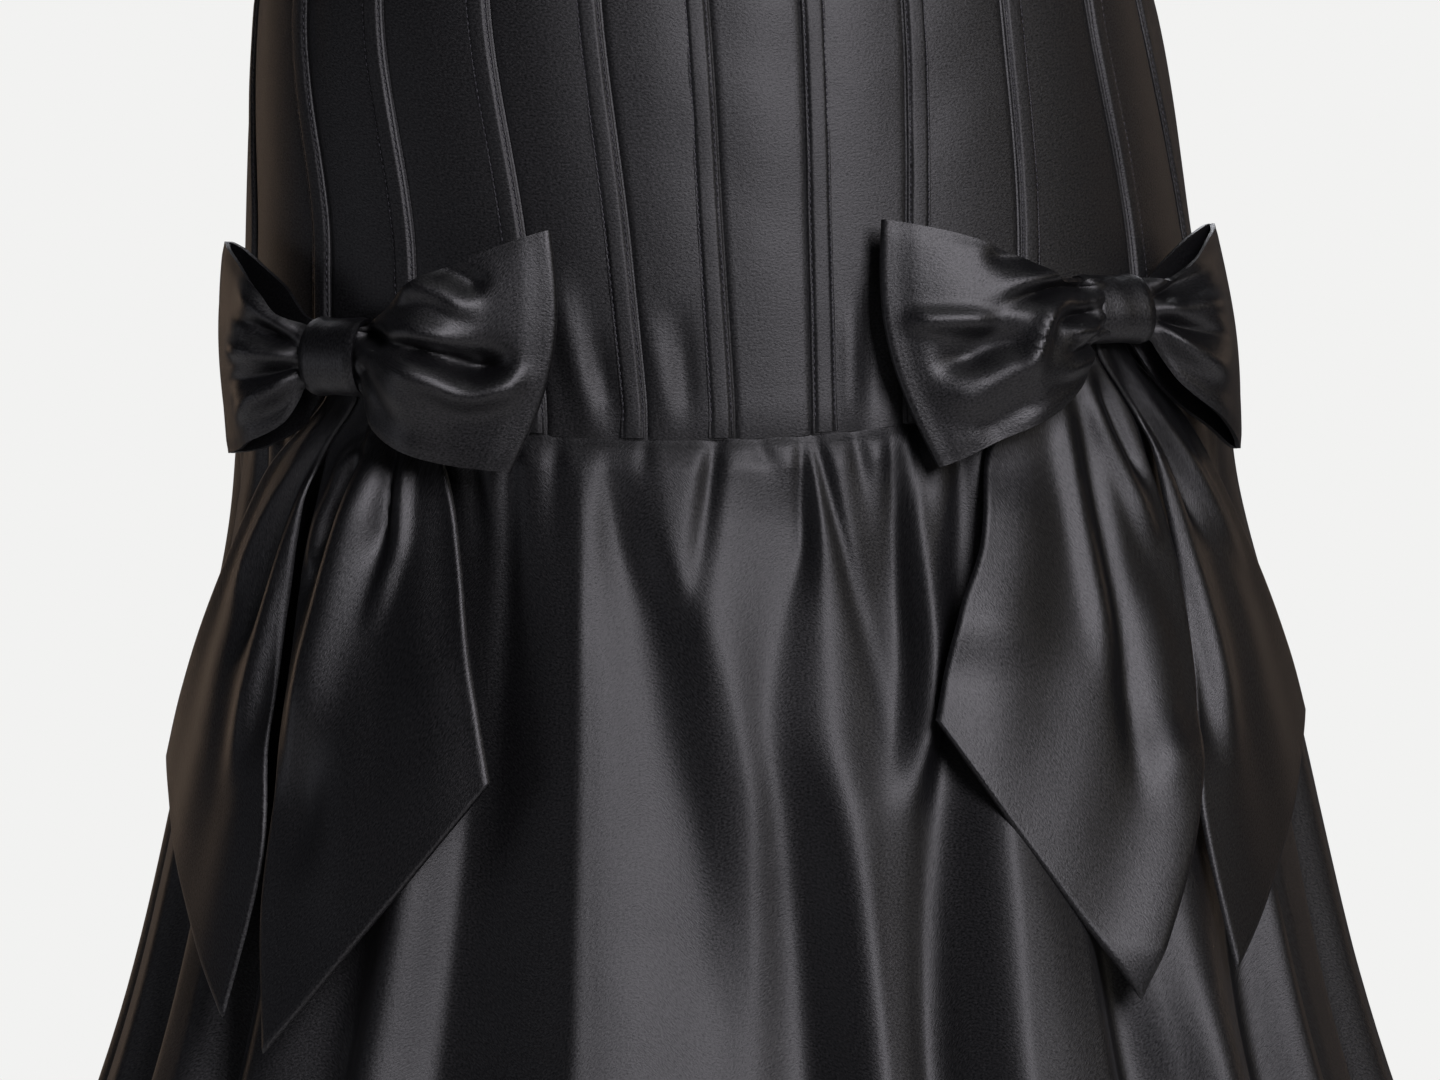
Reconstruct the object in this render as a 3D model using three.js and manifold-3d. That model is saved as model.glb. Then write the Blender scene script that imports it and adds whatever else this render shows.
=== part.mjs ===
// Strapless ball gown in black satin: a boned bodice that ends in a dropped waist seam, a gathered
// floor-length skirt in five panels, a bow on each hip and a zip down the centre back.
// Millimetres, +Z up, -Y is the front, +X is the wearer's left. The origin is the centre of the waist.
// Angles are in degrees round the body: 0 at the centre front, positive towards +X, 180 at the back.
import * as THREE from "three";
import Module from "manifold-3d";
import { mergeVertices } from "three/addons/utils/BufferGeometryUtils.js";

// Driving dimensions of the cloth
const BODICE_WALL = 2.0;
const SKIRT_WALL = 2.4;
const BOW_WALL = 2.0;
const SEAM_GAP = 0.3;

// Bone channels, stitched tapes that lie on the panels beside each seam
const CHANNEL_WIDTH = 8.5;
const CHANNEL_THICKNESS = 1.2;
const CHANNEL_FROM_SEAM = 0.5;
const CHANNEL_LIFT = 0.35;
const CHANNEL_END = 3.0;

// Skirt
const HEM_HEIGHT = -1080;
const GATHERS = 72;
const GATHER_DEPTH = 3.4;
const SKIRT_COLUMNS = 144;

// Hip bows
const BOW_MM_PER_DEGREE = 2.65;
const KNOT_WIDTH = 20;
const KNOT_HALF_HEIGHT = 12;
const KNOT_HALF_DEPTH = 9;
const KNOT_LIFT = 14.6;
const FOLD_RADIUS = 3;

// Zip slider and its pull tab
const ZIP_HEIGHT = 136;
const PLATE = { width: 7, height: 10, depth: 1.6 };
const EAR = { width: 1.2, height: 4.4, depth: 5.0, apart: 3.2 };
const PIN = { radius: 0.7, out: 3.6 };
const TAB = { neck: 2.6, width: 6, length: 22, thickness: 1.2, eye: 2.0, bore: 1.05 };

// The hollow worn form: half width, depth to the front and to the back, sideways sway of the hips,
// turn of the body and slew of the side seams, at heights from the hem to above the neckline
const FIGURE = [
  { z: -1080, half: 545, front: 500, back: 505, sway: 15, turn: 0, slew: 8 },
  { z: -800, half: 400, front: 356, back: 364, sway: 22, turn: 0, slew: 8 },
  { z: -600, half: 299, front: 256, back: 263, sway: 26, turn: 0, slew: 8 },
  { z: -420, half: 223, front: 181, back: 187, sway: 28, turn: 0, slew: 8 },
  { z: -300, half: 192, front: 147, back: 150, sway: 27, turn: 1, slew: 8 },
  { z: -210, half: 170, front: 122, back: 120, sway: 24, turn: 2, slew: 8 },
  { z: -152, half: 164, front: 117, back: 114, sway: 19, turn: 3.5, slew: 8 },
  { z: -66, half: 155, front: 109, back: 104, sway: 14, turn: 4.6, slew: 0 },
  { z: 0, half: 134, front: 96, back: 91, sway: 6, turn: 5.5, slew: 0 },
  { z: 85, half: 137, front: 99, back: 96, sway: -3, turn: 6, slew: 0 },
  { z: 155, half: 152, front: 108, back: 97, sway: -8, turn: 6, slew: 0 },
  { z: 240, half: 150, front: 104, back: 96, sway: -12, turn: 6, slew: 0 },
];

// The cups swell out of the front of the bodice
const BUST = { angle: 38, z: 150, lift: 26, angleWidth: 22, zWidth: 48 };

// Height of the neckline at angles from the centre front to the centre back
const NECKLINE = [
  { angle: 0, z: 176 },
  { angle: 35, z: 206 },
  { angle: 70, z: 178 },
  { angle: 90, z: 168 },
  { angle: 130, z: 150 },
  { angle: 180, z: 146 },
];

// The dropped waist seam dips at the front and rises with the raised hip
const WAIST_SEAM = { z: -210, rise: 24, tilt: 9.4 };

// Seams of the bodice from the centre front to the back, as angles at five heights
const BONE_HEIGHTS = [200, 0, -66, -152, -200];
const BONES = [
  [8, 6.2, 5.5, 4.7, 4.2],
  [24, 20, 18.8, 16, 14.5],
  [40, 35.5, 33.5, 30, 27.4],
  [57, 52.5, 50, 47.8, 46],
  [73, 68.5, 66, 64.5, 64],
  [88, 88, 88, 88, 88],
  [109, 109, 109, 109, 109],
  [133, 133, 133, 133, 133],
  [157, 157, 157, 157, 157],
];

// Troughs between the skirt's large folds: angle at the seam, at the thigh and at the hem,
// half width in degrees at the thigh, and depth just below the seam, at the thigh and at the hem
const FOLDS = [
  { seam: 3, thigh: 1.4, hem: 2, width: 3.0, start: 4, depth: 16, end: 34 },
  { seam: 13.5, thigh: 12, hem: 16, width: 3.0, start: 3, depth: 12, end: 36 },
  { seam: 26, thigh: 21.5, hem: 28, width: 2.6, start: 4, depth: 9, end: 40 },
  { seam: 41, thigh: 34, hem: 41, width: 4.2, start: 2, depth: 15, end: 38 },
  { seam: 56, thigh: 51, hem: 55, width: 4.4, start: 3, depth: 17, end: 42 },
  { seam: 71, thigh: 68, hem: 70, width: 4.6, start: 4, depth: 15, end: 37 },
  { seam: 86, thigh: 84, hem: 85, width: 4.8, start: 3, depth: 19, end: 44 },
  { seam: 101, thigh: 100, hem: 99, width: 4.4, start: 4, depth: 15, end: 36 },
  { seam: 116, thigh: 115, hem: 115, width: 4.8, start: 3, depth: 19, end: 43 },
  { seam: 131, thigh: 130, hem: 131, width: 4.4, start: 4, depth: 16, end: 38 },
  { seam: 146, thigh: 147, hem: 146, width: 5.0, start: 3, depth: 20, end: 45 },
  { seam: 162, thigh: 163, hem: 163, width: 4.5, start: 4, depth: 17, end: 39 },
  { seam: 179, thigh: 180, hem: 180, width: 5.2, start: 4, depth: 21, end: 46 },
  { seam: 196, thigh: 197, hem: 196, width: 4.4, start: 3, depth: 16, end: 38 },
  { seam: 212, thigh: 212, hem: 213, width: 5.0, start: 4, depth: 20, end: 44 },
  { seam: 227, thigh: 228, hem: 227, width: 4.4, start: 3, depth: 15, end: 37 },
  { seam: 242, thigh: 243, hem: 243, width: 4.8, start: 4, depth: 19, end: 43 },
  { seam: 257, thigh: 258, hem: 258, width: 4.6, start: 3, depth: 16, end: 37 },
  { seam: 272, thigh: 273, hem: 273, width: 4.8, start: 4, depth: 18, end: 42 },
  { seam: 287, thigh: 288, hem: 287, width: 4.4, start: 3, depth: 15, end: 38 },
  { seam: 302, thigh: 303, hem: 301, width: 4.6, start: 3, depth: 17, end: 42 },
  { seam: 319, thigh: 318, hem: 316, width: 4.2, start: 2, depth: 14, end: 38 },
  { seam: 322, thigh: 332.5, hem: 331, width: 4.4, start: 6, depth: 17, end: 40 },
  { seam: 341.5, thigh: 354.5, hem: 347, width: 3.0, start: 5, depth: 4, end: 33 },
];
const FOLD_HEIGHTS = { start: -235, thigh: -420 };

// Skirt panels, as columns of the whole round counted from the centre back
const SKIRT_PANELS = [
  { name: "skirt_back_right", from: 0, to: 25 },
  { name: "skirt_side_right", from: 25, to: 49 },
  { name: "skirt_front", from: 49, to: 95 },
  { name: "skirt_side_left", from: 95, to: 119 },
  { name: "skirt_back_left", from: 119, to: 144 },
];

// Rows of the skirt, as fractions of its length from the seam down
const SKIRT_ROWS = [0, 0.014, 0.035, 0.07, 0.115, 0.17, 0.25, 0.35, 0.47, 0.6, 0.73, 0.87, 1];

// Bows: where each knot sits, and which way its inner side lies round the body
const BOWS = [
  { name: "left", angle: 41.4, z: -168.4, inward: -1, outerScale: 0.94 },
  { name: "right", angle: -51, z: -184, inward: 1, outerScale: 0.9 },
];

// Loops from the root inside the knot to the fold at the end: distance from the knot and height of
// the upper and lower edges, and how far the front and back layers stand off the body
const LOOPS = {
  left: [
    { topOut: 0.6, top: 5, lowOut: 0.6, low: -5, front: 16.8, back: 12.2 },
    { topOut: 11.5, top: 6, lowOut: 11.5, low: -6, front: 17, back: 12.2 },
    { topOut: 21.5, top: 10, lowOut: 20, low: -25, front: 27, back: 11.5 },
    { topOut: 36, top: 17, lowOut: 34, low: -36, front: 34, back: 11.5 },
    { topOut: 56, top: 25, lowOut: 48, low: -43, front: 30, back: 11 },
    { topOut: 79, top: 29, lowOut: 62, low: -51, front: 16, back: 10.5 },
  ],
  right: [
    { topOut: 0.6, top: 5, lowOut: 0.6, low: -5, front: 16.8, back: 12.2 },
    { topOut: 11.5, top: 6, lowOut: 11.5, low: -6, front: 17, back: 12.2 },
    { topOut: 20, top: 20, lowOut: 18, low: -23, front: 27, back: 11.5 },
    { topOut: 32, top: 28, lowOut: 31, low: -31, front: 34, back: 11.5 },
    { topOut: 50, top: 35, lowOut: 44, low: -35, front: 30, back: 11 },
    { topOut: 69, top: 42, lowOut: 58, low: -37, front: 16, back: 10.5 },
  ],
};

// Tails from the root behind the knot to the slanted end: distance from the knot and drop of the
// edge nearer the centre and of the edge farther from it, and height of the folds between them
const TAILS = {
  inner_left: [
    { nearOut: 9.2, near: -3, farOut: 0.6, far: -3, fold: 0 },
    { nearOut: 15, near: 15, farOut: 0.6, far: 13, fold: 0.3 },
    { nearOut: 46, near: 47, farOut: -12, far: 40, fold: 2 },
    { nearOut: 54, near: 78, farOut: -15, far: 78, fold: 5 },
    { nearOut: 62, near: 97, farOut: -11, far: 118, fold: 6 },
    { nearOut: 67, near: 116, farOut: 0, far: 165, fold: 5 },
    { nearOut: 70.5, near: 133, farOut: 23.6, far: 224.6, fold: 1.5 },
  ],
  inner_right: [
    { nearOut: 9.2, near: -3, farOut: 0.6, far: -3, fold: 0 },
    { nearOut: 15, near: 14, farOut: 0.6, far: 13, fold: 0.3 },
    { nearOut: 35, near: 34, farOut: -10, far: 34, fold: 2 },
    { nearOut: 44.5, near: 66, farOut: -10.3, far: 68, fold: 5 },
    { nearOut: 50, near: 92, farOut: -4, far: 122, fold: 6 },
    { nearOut: 56, near: 116, farOut: -1, far: 175, fold: 5 },
    { nearOut: 61, near: 138, farOut: 9, far: 228, fold: 1.5 },
  ],
  outer: [
    { nearOut: -0.6, near: -3, farOut: -9.2, far: -3, fold: 0 },
    { nearOut: -0.6, near: 13, farOut: -15, far: 14, fold: 0.3 },
    { nearOut: -16.5, near: 42, farOut: -42, far: 40, fold: 2 },
    { nearOut: -17, near: 80, farOut: -55, far: 68, fold: 4 },
    { nearOut: -13.5, near: 120, farOut: -62, far: 92, fold: 5 },
    { nearOut: -5, near: 168, farOut: -67, far: 115, fold: 4 },
    { nearOut: -8, near: 218, farOut: -71, far: 137, fold: 1.5 },
  ],
};
const TAIL_FOLDS = 2.5;
const LOOP_PLEATS = 3;
const LOOP_PLEAT_DEPTH = 2.4;

// A loop's fold takes this share of its length, and its layers close onto the fold past the share LOOP_CLOSE
const LOOP_BEND = 0.07;
const LOOP_CLOSE = 0.86;

// The mouth of a loop is hollowed to this share at its edges, and its front stays this far off the back
const MOUTH_HOLLOW = 0.62;
const LOOP_INNER_GAP = 4;

// How far a tail's middle lies off the body: over the bone channels, then over the skirt's crests
const REST = [
  { z: -1080, lift: 8 },
  { z: -420, lift: 7 },
  { z: -230, lift: 6.4 },
  { z: -195, lift: 4.6 },
  { z: -165, lift: 4.1 },
  { z: -100, lift: 4.1 },
];

const SATIN = { color: 0x1b1a1d, roughness: 0.42, metalness: 0 };
const SATIN_DARK = { color: 0x151417, roughness: 0.45, metalness: 0 };
const NICKEL = { color: 0x2a2a2c, roughness: 0.35, metalness: 0.9 };

const RAD = Math.PI / 180;

// Smooth curve through a table's rows, which never overshoots between them
function curve(rows, key, column) {
  const xs = rows.map((row) => row[key]);
  const ys = rows.map((row) => row[column]);
  const last = xs.length - 1;
  const slope = (k) => (ys[k + 1] - ys[k]) / (xs[k + 1] - xs[k]);
  const tangent = (k) => {
    if (k === 0) return slope(0);
    if (k === last) return slope(last - 1);
    const a = slope(k - 1);
    const b = slope(k);
    return a * b <= 0 ? 0 : (2 * a * b) / (a + b);
  };
  const rising = xs[last] > xs[0];
  return (x) => {
    let k = 0;
    while (k < last - 1 && (rising ? xs[k + 1] <= x : xs[k + 1] >= x)) k += 1;
    const h = xs[k + 1] - xs[k];
    const s = Math.min(1, Math.max(0, (x - xs[k]) / h));
    const r = 1 - s;
    return (1 + 2 * s) * r * r * ys[k] + s * r * r * h * tangent(k)
      + s * s * (3 - 2 * s) * ys[k + 1] - s * s * r * h * tangent(k + 1);
  };
}

// Straight change from one value to another
function mix(a, b, s) {
  return a + (b - a) * s;
}

const figure = {};
for (const column of ["half", "front", "back", "sway", "turn", "slew"]) {
  figure[column] = curve(FIGURE, "z", column);
}
const restLift = curve(REST, "z", "lift");
const neckline = curve(NECKLINE, "angle", "z");

// Extra lift of the two cups
function bustLift(angle, z) {
  const up = Math.exp(-(((z - BUST.z) / BUST.zWidth) ** 2));
  const side = Math.exp(-(((Math.abs(angle) - BUST.angle) / BUST.angleWidth) ** 2));
  return BUST.lift * up * side;
}

// The direction that faces out of the body, in plan, before the turn
function plan(angle, z) {
  const half = figure.half(z);
  const c = Math.cos(angle * RAD);
  const s = Math.sin(angle * RAD);
  const depth = c > 0 ? figure.front(z) : figure.back(z);
  const normal = new THREE.Vector2(s / half, -c / depth).normalize();
  return { x: half * s, y: -depth * c, normal };
}

// A point on the body at an angle and height, a distance out of its surface
function bodyPoint(angle, z, lift) {
  const at = plan(angle, z);
  const x = at.x + at.normal.x * lift;
  const y = at.y + at.normal.y * lift;
  const turn = figure.turn(z) * RAD;
  return new THREE.Vector3(
    x * Math.cos(turn) - y * Math.sin(turn) + figure.sway(z),
    x * Math.sin(turn) + y * Math.cos(turn),
    z,
  );
}

// Degrees round the body that a length in millimetres takes up
function degreesFor(length, angle, z) {
  const step = 0.5;
  const a = bodyPoint(angle - step, z, 0);
  const b = bodyPoint(angle + step, z, 0);
  return (length * 2 * step) / a.distanceTo(b);
}

// Height of the dropped waist seam at an angle
function waistSeam(angle) {
  const s = Math.sin(angle * RAD);
  return WAIST_SEAM.z + WAIST_SEAM.rise * s * s + WAIST_SEAM.tilt * s;
}

// Angle of a bodice seam on one side at a height, with the slew that the raised hip gives it
function boneAngle(bone, side, z) {
  const rows = BONE_HEIGHTS.map((height, k) => ({ z: height, angle: bone[k] }));
  const angle = curve(rows, "z", "angle")(Math.min(200, Math.max(-200, z)));
  const s = Math.sin(angle * RAD);
  return side * angle + figure.slew(z) * s * s;
}

function material(look) {
  return new THREE.MeshStandardMaterial(look);
}

// A closed mesh from points and triangles, turned so that its faces point out
function solid(name, points, faces, look) {
  let volume = 0;
  for (const [a, b, c] of faces) {
    volume += points[a].dot(points[b].clone().cross(points[c]));
  }
  const index = volume > 0 ? faces.flat() : faces.map(([a, b, c]) => [a, c, b]).flat();
  const geometry = new THREE.BufferGeometry();
  geometry.setAttribute("position", new THREE.Float32BufferAttribute(points.flatMap((p) => [p.x, p.y, p.z]), 3));
  geometry.setIndex(index);
  geometry.computeVertexNormals();
  const mesh = new THREE.Mesh(geometry, material(look));
  mesh.name = name;
  return mesh;
}

// A wall of cloth from two grids of points, its outer and inner faces, closed round its four edges
function wall(name, columns, rows, outer, inner, look) {
  const points = [];
  const wide = columns + 1;
  const count = wide * (rows + 1);
  for (const face of [outer, inner]) {
    for (let j = 0; j <= rows; j += 1) {
      for (let i = 0; i <= columns; i += 1) points.push(face(i, j));
    }
  }
  const faces = [];
  const quad = (a, b, c, d) => faces.push([a, b, c], [a, c, d]);
  const at = (i, j) => j * wide + i;
  for (let j = 0; j < rows; j += 1) {
    for (let i = 0; i < columns; i += 1) {
      quad(at(i, j), at(i + 1, j), at(i + 1, j + 1), at(i, j + 1));
      quad(count + at(i, j), count + at(i, j + 1), count + at(i + 1, j + 1), count + at(i + 1, j));
    }
    quad(at(0, j), at(0, j + 1), count + at(0, j + 1), count + at(0, j));
    quad(at(columns, j + 1), at(columns, j), count + at(columns, j), count + at(columns, j + 1));
  }
  for (let i = 0; i < columns; i += 1) {
    quad(at(i + 1, 0), at(i, 0), count + at(i, 0), count + at(i + 1, 0));
    quad(at(i, rows), at(i + 1, rows), count + at(i + 1, rows), count + at(i, rows));
  }
  return solid(name, points, faces, look);
}

// A wall whose middle surface lies off the body, with its thickness along the body's own normal
function bodyWall(name, columns, rows, place, thickness, look) {
  const face = (side) => (i, j) => {
    const { angle, z, lift } = place(i, j);
    return bodyPoint(angle, z, lift + (side * thickness) / 2);
  };
  return wall(name, columns, rows, face(1), face(-1), look);
}

// A wall whose middle surface may double back, with its thickness along that surface's normal
function freeWall(name, columns, rows, place, thickness, look) {
  const step = 0.02;
  const point = (u, v) => {
    const { angle, z, lift } = place(u, v);
    return bodyPoint(angle, z, lift);
  };
  const face = (side) => (i, j) => {
    const du = point(Math.min(columns, i + step), j).sub(point(Math.max(0, i - step), j));
    const dv = point(i, Math.min(rows, j + step)).sub(point(i, Math.max(0, j - step)));
    const normal = du.cross(dv).normalize();
    return point(i, j).addScaledVector(normal, (side * thickness) / 2);
  };
  return wall(name, columns, rows, face(1), face(-1), look);
}

// Bodice: panels between the seams, with rows as shares of the height from the waist seam up
const BODICE_ROWS = [0, 0.11, 0.22, 0.34, 0.45, 0.55, 0.65, 0.77, 0.89, 1];
const PANEL_COLUMNS = 3;
const PANEL_NAMES = [
  "back_right", "rear_right_3", "rear_right_2", "rear_right_1", "side_right_2", "side_right_1",
  "front_right_3", "front_right_2", "front_right_1", "centre_front", "front_left_1", "front_left_2",
  "front_left_3", "side_left_1", "side_left_2", "rear_left_1", "rear_left_2", "rear_left_3", "back_left",
];
const CENTRE_PANEL = 9;

function seamAngle(index, z) {
  if (index === 0) return -180;
  if (index === PANEL_NAMES.length) return 180;
  if (index <= CENTRE_PANEL) return boneAngle(BONES[CENTRE_PANEL - index], -1, z);
  return boneAngle(BONES[index - CENTRE_PANEL - 1], 1, z);
}

// Height on the bodice at an angle: 0 at the waist seam and 1 at the neckline
function bodiceHeight(angle, share) {
  return mix(waistSeam(angle) + SEAM_GAP / 2, neckline(Math.abs(angle)), share);
}

// A panel's columns, with a strip for the bone channel on the side nearer the centre front
function panelColumns(index, z) {
  const from = seamAngle(index, z);
  const to = seamAngle(index + 1, z);
  const gap = SEAM_GAP / 2;
  const start = from + degreesFor(gap, from, z);
  const end = to - degreesFor(gap, to, z);
  const strip = CHANNEL_WIDTH + 2 * CHANNEL_FROM_SEAM;
  if (index === CENTRE_PANEL) return [start, mix(start, end, 1 / 3), mix(start, end, 2 / 3), end];
  if (index > CENTRE_PANEL) {
    const edge = from + degreesFor(strip, from, z);
    return [start, edge, mix(edge, end, 0.5), end];
  }
  const edge = to - degreesFor(strip, to, z);
  return [start, mix(start, edge, 0.5), edge, end];
}

function panelPoint(index, i, j, lift) {
  const share = BODICE_ROWS[j];
  const guess = bodiceHeight(panelColumns(index, 0)[i], share);
  const z = bodiceHeight(panelColumns(index, guess)[i], share);
  const angle = panelColumns(index, z)[i];
  return bodyPoint(angle, z, bustLift(angle, z) + lift);
}

function bodicePanel(index) {
  const face = (side) => (i, j) => panelPoint(index, i, j, (side * BODICE_WALL) / 2);
  const rows = BODICE_ROWS.length - 1;
  return wall(`bodice_${PANEL_NAMES[index]}`, PANEL_COLUMNS, rows, face(1), face(-1), SATIN);
}

// Bone channel: a tape on its panel's strip, made from that strip's own points, moved out
function boneChannel(number, side) {
  const index = side > 0 ? CENTRE_PANEL + number : CENTRE_PANEL - number;
  const column = side > 0 ? 0 : PANEL_COLUMNS - 1;
  const last = BODICE_ROWS.length - 1;
  const margin = CHANNEL_FROM_SEAM / (CHANNEL_WIDTH + 2 * CHANNEL_FROM_SEAM);
  const face = (lift) => (i, j) => {
    const across = i === 0 ? margin : 1 - margin;
    const onStrip = (row) => panelPoint(index, column, row, lift).lerp(panelPoint(index, column + 1, row, lift), across);
    const point = onStrip(j);
    if (j > 0 && j < last) return point;
    const next = onStrip(j === 0 ? 1 : last - 1);
    return point.lerp(next, CHANNEL_END / point.distanceTo(next));
  };
  const base = BODICE_WALL / 2 + CHANNEL_LIFT;
  const name = `bone_${side > 0 ? "left" : "right"}_${number}`;
  return wall(name, 1, last, face(base + CHANNEL_THICKNESS), face(base), SATIN_DARK);
}

// Lift of the skirt off the flared form: soft troughs between crests, and small gathers at the seam
const foldAngle = FOLDS.map((fold) => curve([
  { z: HEM_HEIGHT, angle: fold.hem },
  { z: FOLD_HEIGHTS.thigh, angle: fold.thigh },
  { z: -320, angle: mix(fold.seam, fold.thigh, 0.62) },
  { z: WAIST_SEAM.z, angle: fold.seam },
], "z", "angle"));
const foldDepth = FOLDS.map((fold) => curve([
  { z: HEM_HEIGHT, depth: fold.end },
  { z: FOLD_HEIGHTS.thigh, depth: fold.depth },
  { z: FOLD_HEIGHTS.start, depth: fold.start },
  { z: WAIST_SEAM.z, depth: 0 },
], "z", "depth"));

function turnBetween(a, b) {
  return ((((a - b) % 360) + 540) % 360) - 180;
}

function foldLift(angle, z) {
  let lift = 0;
  FOLDS.forEach((fold, k) => {
    const away = turnBetween(angle, foldAngle[k](z)) / fold.width;
    lift -= Math.max(0, foldDepth[k](z)) * Math.exp(-away * away);
  });
  return lift;
}

// Each gather is deepest just below the seam and fades out lower down, at its own length
function gatherLift(angle, drop) {
  const number = Math.round((angle / 360) * GATHERS);
  const length = 52 + 26 * Math.sin(number * 2.4) + 14 * Math.sin(number * 5.1);
  const rise = Math.min(1, 0.35 + drop / 14);
  const fade = Math.exp(-((drop / length) ** 2));
  return (GATHER_DEPTH / 2) * rise * fade * Math.cos((angle / 360) * GATHERS * 2 * Math.PI);
}

function skirtPanel({ name, from, to }) {
  const rows = SKIRT_ROWS.length - 1;
  const columns = to - from;
  const place = (i, j) => {
    const start = -180 + ((from + i) * 360) / SKIRT_COLUMNS;
    const seam = waistSeam(start) - SEAM_GAP / 2;
    const z = mix(seam, HEM_HEIGHT, SKIRT_ROWS[j]);
    const half = degreesFor(SEAM_GAP / 2, start, z);
    const inset = i === 0 ? half : i === columns ? -half : 0;
    const lift = foldLift(start, z) + gatherLift(start, seam - z);
    return { angle: start + inset, z, lift };
  };
  return bodyWall(name, columns, rows, place, SKIRT_WALL, SATIN);
}

// Bows: a place on the body at a distance from the knot and a height above it
function bowPlace(bow, out, up, lift) {
  return { angle: bow.angle + (bow.inward * out) / BOW_MM_PER_DEGREE, z: bow.z + up, lift };
}

// The knot is a flat band of cloth round the roots of the loops
function knot(bow) {
  const around = 16;
  const point = (shrink) => (i, j) => {
    const turn = (i / around) * 2 * Math.PI;
    const out = mix(-KNOT_WIDTH / 2, KNOT_WIDTH / 2, j / 4);
    const waist = 1 - 0.06 * Math.sin((j / 4) * Math.PI);
    const up = Math.cos(turn) * (KNOT_HALF_HEIGHT * waist - shrink);
    const lift = KNOT_LIFT + Math.sin(turn) * (KNOT_HALF_DEPTH - shrink);
    const at = bowPlace(bow, out, up, lift);
    return bodyPoint(at.angle, at.z, at.lift);
  };
  const points = [];
  const rows = 4;
  for (const shrink of [0, BOW_WALL]) {
    for (let j = 0; j <= rows; j += 1) {
      for (let i = 0; i < around; i += 1) points.push(point(shrink)(i, j));
    }
  }
  const count = around * (rows + 1);
  const faces = [];
  const quad = (a, b, c, d) => faces.push([a, b, c], [a, c, d]);
  const at = (i, j) => j * around + (i % around);
  for (let i = 0; i < around; i += 1) {
    for (let j = 0; j < rows; j += 1) {
      quad(at(i, j), at(i + 1, j), at(i + 1, j + 1), at(i, j + 1));
      quad(count + at(i, j), count + at(i, j + 1), count + at(i + 1, j + 1), count + at(i + 1, j));
    }
    quad(at(i + 1, 0), at(i, 0), count + at(i, 0), count + at(i + 1, 0));
    quad(at(i, rows), at(i + 1, rows), count + at(i + 1, rows), count + at(i, rows));
  }
  return solid(`bow_${bow.name}_knot`, points, faces, SATIN);
}

// A loop leaves the knot in front, folds back at its end and returns behind itself
const LOOP_COLUMNS = 14;
const LOOP_ROWS = 4;

function loop(bow, part, table, direction, scale) {
  const rows = table.map((row, k) => ({ ...row, s: k / (table.length - 1) }));
  const at = {};
  for (const column of ["topOut", "top", "lowOut", "low", "front", "back"]) {
    at[column] = curve(rows, "s", column);
  }
  const place = (i, j) => {
    const path = i / LOOP_COLUMNS;
    const ahead = Math.max(-1, Math.min(1, (0.5 - path) / LOOP_BEND));
    const s = Math.min(1, (1 - Math.abs(2 * path - 1)) / (1 - LOOP_BEND));
    const v = j / LOOP_ROWS;
    const round = Math.sin((ahead * Math.PI) / 2);
    const hollow = mix(MOUTH_HOLLOW, 1, Math.sin(Math.PI * v));
    const pleat = Math.sin(Math.PI * Math.min(1, s * 1.25)) * LOOP_PLEAT_DEPTH;
    const wave = pleat * Math.cos(2 * Math.PI * LOOP_PLEATS * v);
    const middle = (at.front(1) + at.back(1)) / 2;
    const layer = round > 0 ? at.front(s) : at.back(s);
    const puff = round > 0 ? hollow : 1;
    const flat = Math.min(1, s * 4);
    const fold = middle + FOLD_RADIUS * round;
    const open = (1 - s) * layer + s * fold;
    const front = mix(layer, mix(at.back(s) + LOOP_INNER_GAP, Math.max(open, layer), puff), flat) + wave / 2;
    const lift = round > 0 ? front : layer;
    const last = Math.max(0, (s - LOOP_CLOSE) / (1 - LOOP_CLOSE));
    const bulge = FOLD_RADIUS * Math.cos((ahead * Math.PI) / 2) * last;
    const size = mix(1, scale, Math.max(0, Math.min(1, 2.5 * s - 0.5)));
    const out = mix(at.lowOut(s), at.topOut(s), v) * size + bulge;
    const up = mix(at.low(s), at.top(s), v) * size;
    return bowPlace(bow, direction * out, up, mix(lift, fold, last));
  };
  return freeWall(`bow_${bow.name}_${part}_loop`, LOOP_COLUMNS, LOOP_ROWS, place, BOW_WALL, SATIN);
}

// A tail hangs over the skirt from behind the knot and ends in a slanted edge
const TAIL_COLUMNS = 10;
const TAIL_ROWS = 6;

function tail(bow, part, table) {
  const rows = table.map((row, k) => ({ ...row, s: k / (table.length - 1) }));
  const at = {};
  for (const column of ["nearOut", "near", "farOut", "far", "fold"]) {
    at[column] = curve(rows, "s", column);
  }
  const place = (i, j) => {
    const s = j / TAIL_ROWS;
    const v = i / TAIL_COLUMNS;
    const out = mix(at.nearOut(s), at.farOut(s), v);
    const drop = mix(at.near(s), at.far(s), v);
    const wave = at.fold(s) * (0.5 - 0.5 * Math.cos(2 * Math.PI * TAIL_FOLDS * v));
    return bowPlace(bow, out, -drop, restLift(bow.z - drop) + wave);
  };
  return bodyWall(`bow_${bow.name}_${part}_tail`, TAIL_COLUMNS, TAIL_ROWS, place, BOW_WALL, SATIN);
}

// Zip slider and pull tab, joined from plain shapes round the pin's axis
const wasm = await Module();
wasm.setup();

function toManifold(geometry) {
  const plain = geometry.clone();
  plain.deleteAttribute("normal");
  plain.deleteAttribute("uv");
  const merged = mergeVertices(plain);
  const vertProperties = new Float32Array(merged.getAttribute("position").array);
  const triVerts = new Uint32Array(merged.getIndex().array);
  return new wasm.Manifold(new wasm.Mesh({ numProp: 3, vertProperties, triVerts }));
}

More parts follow.
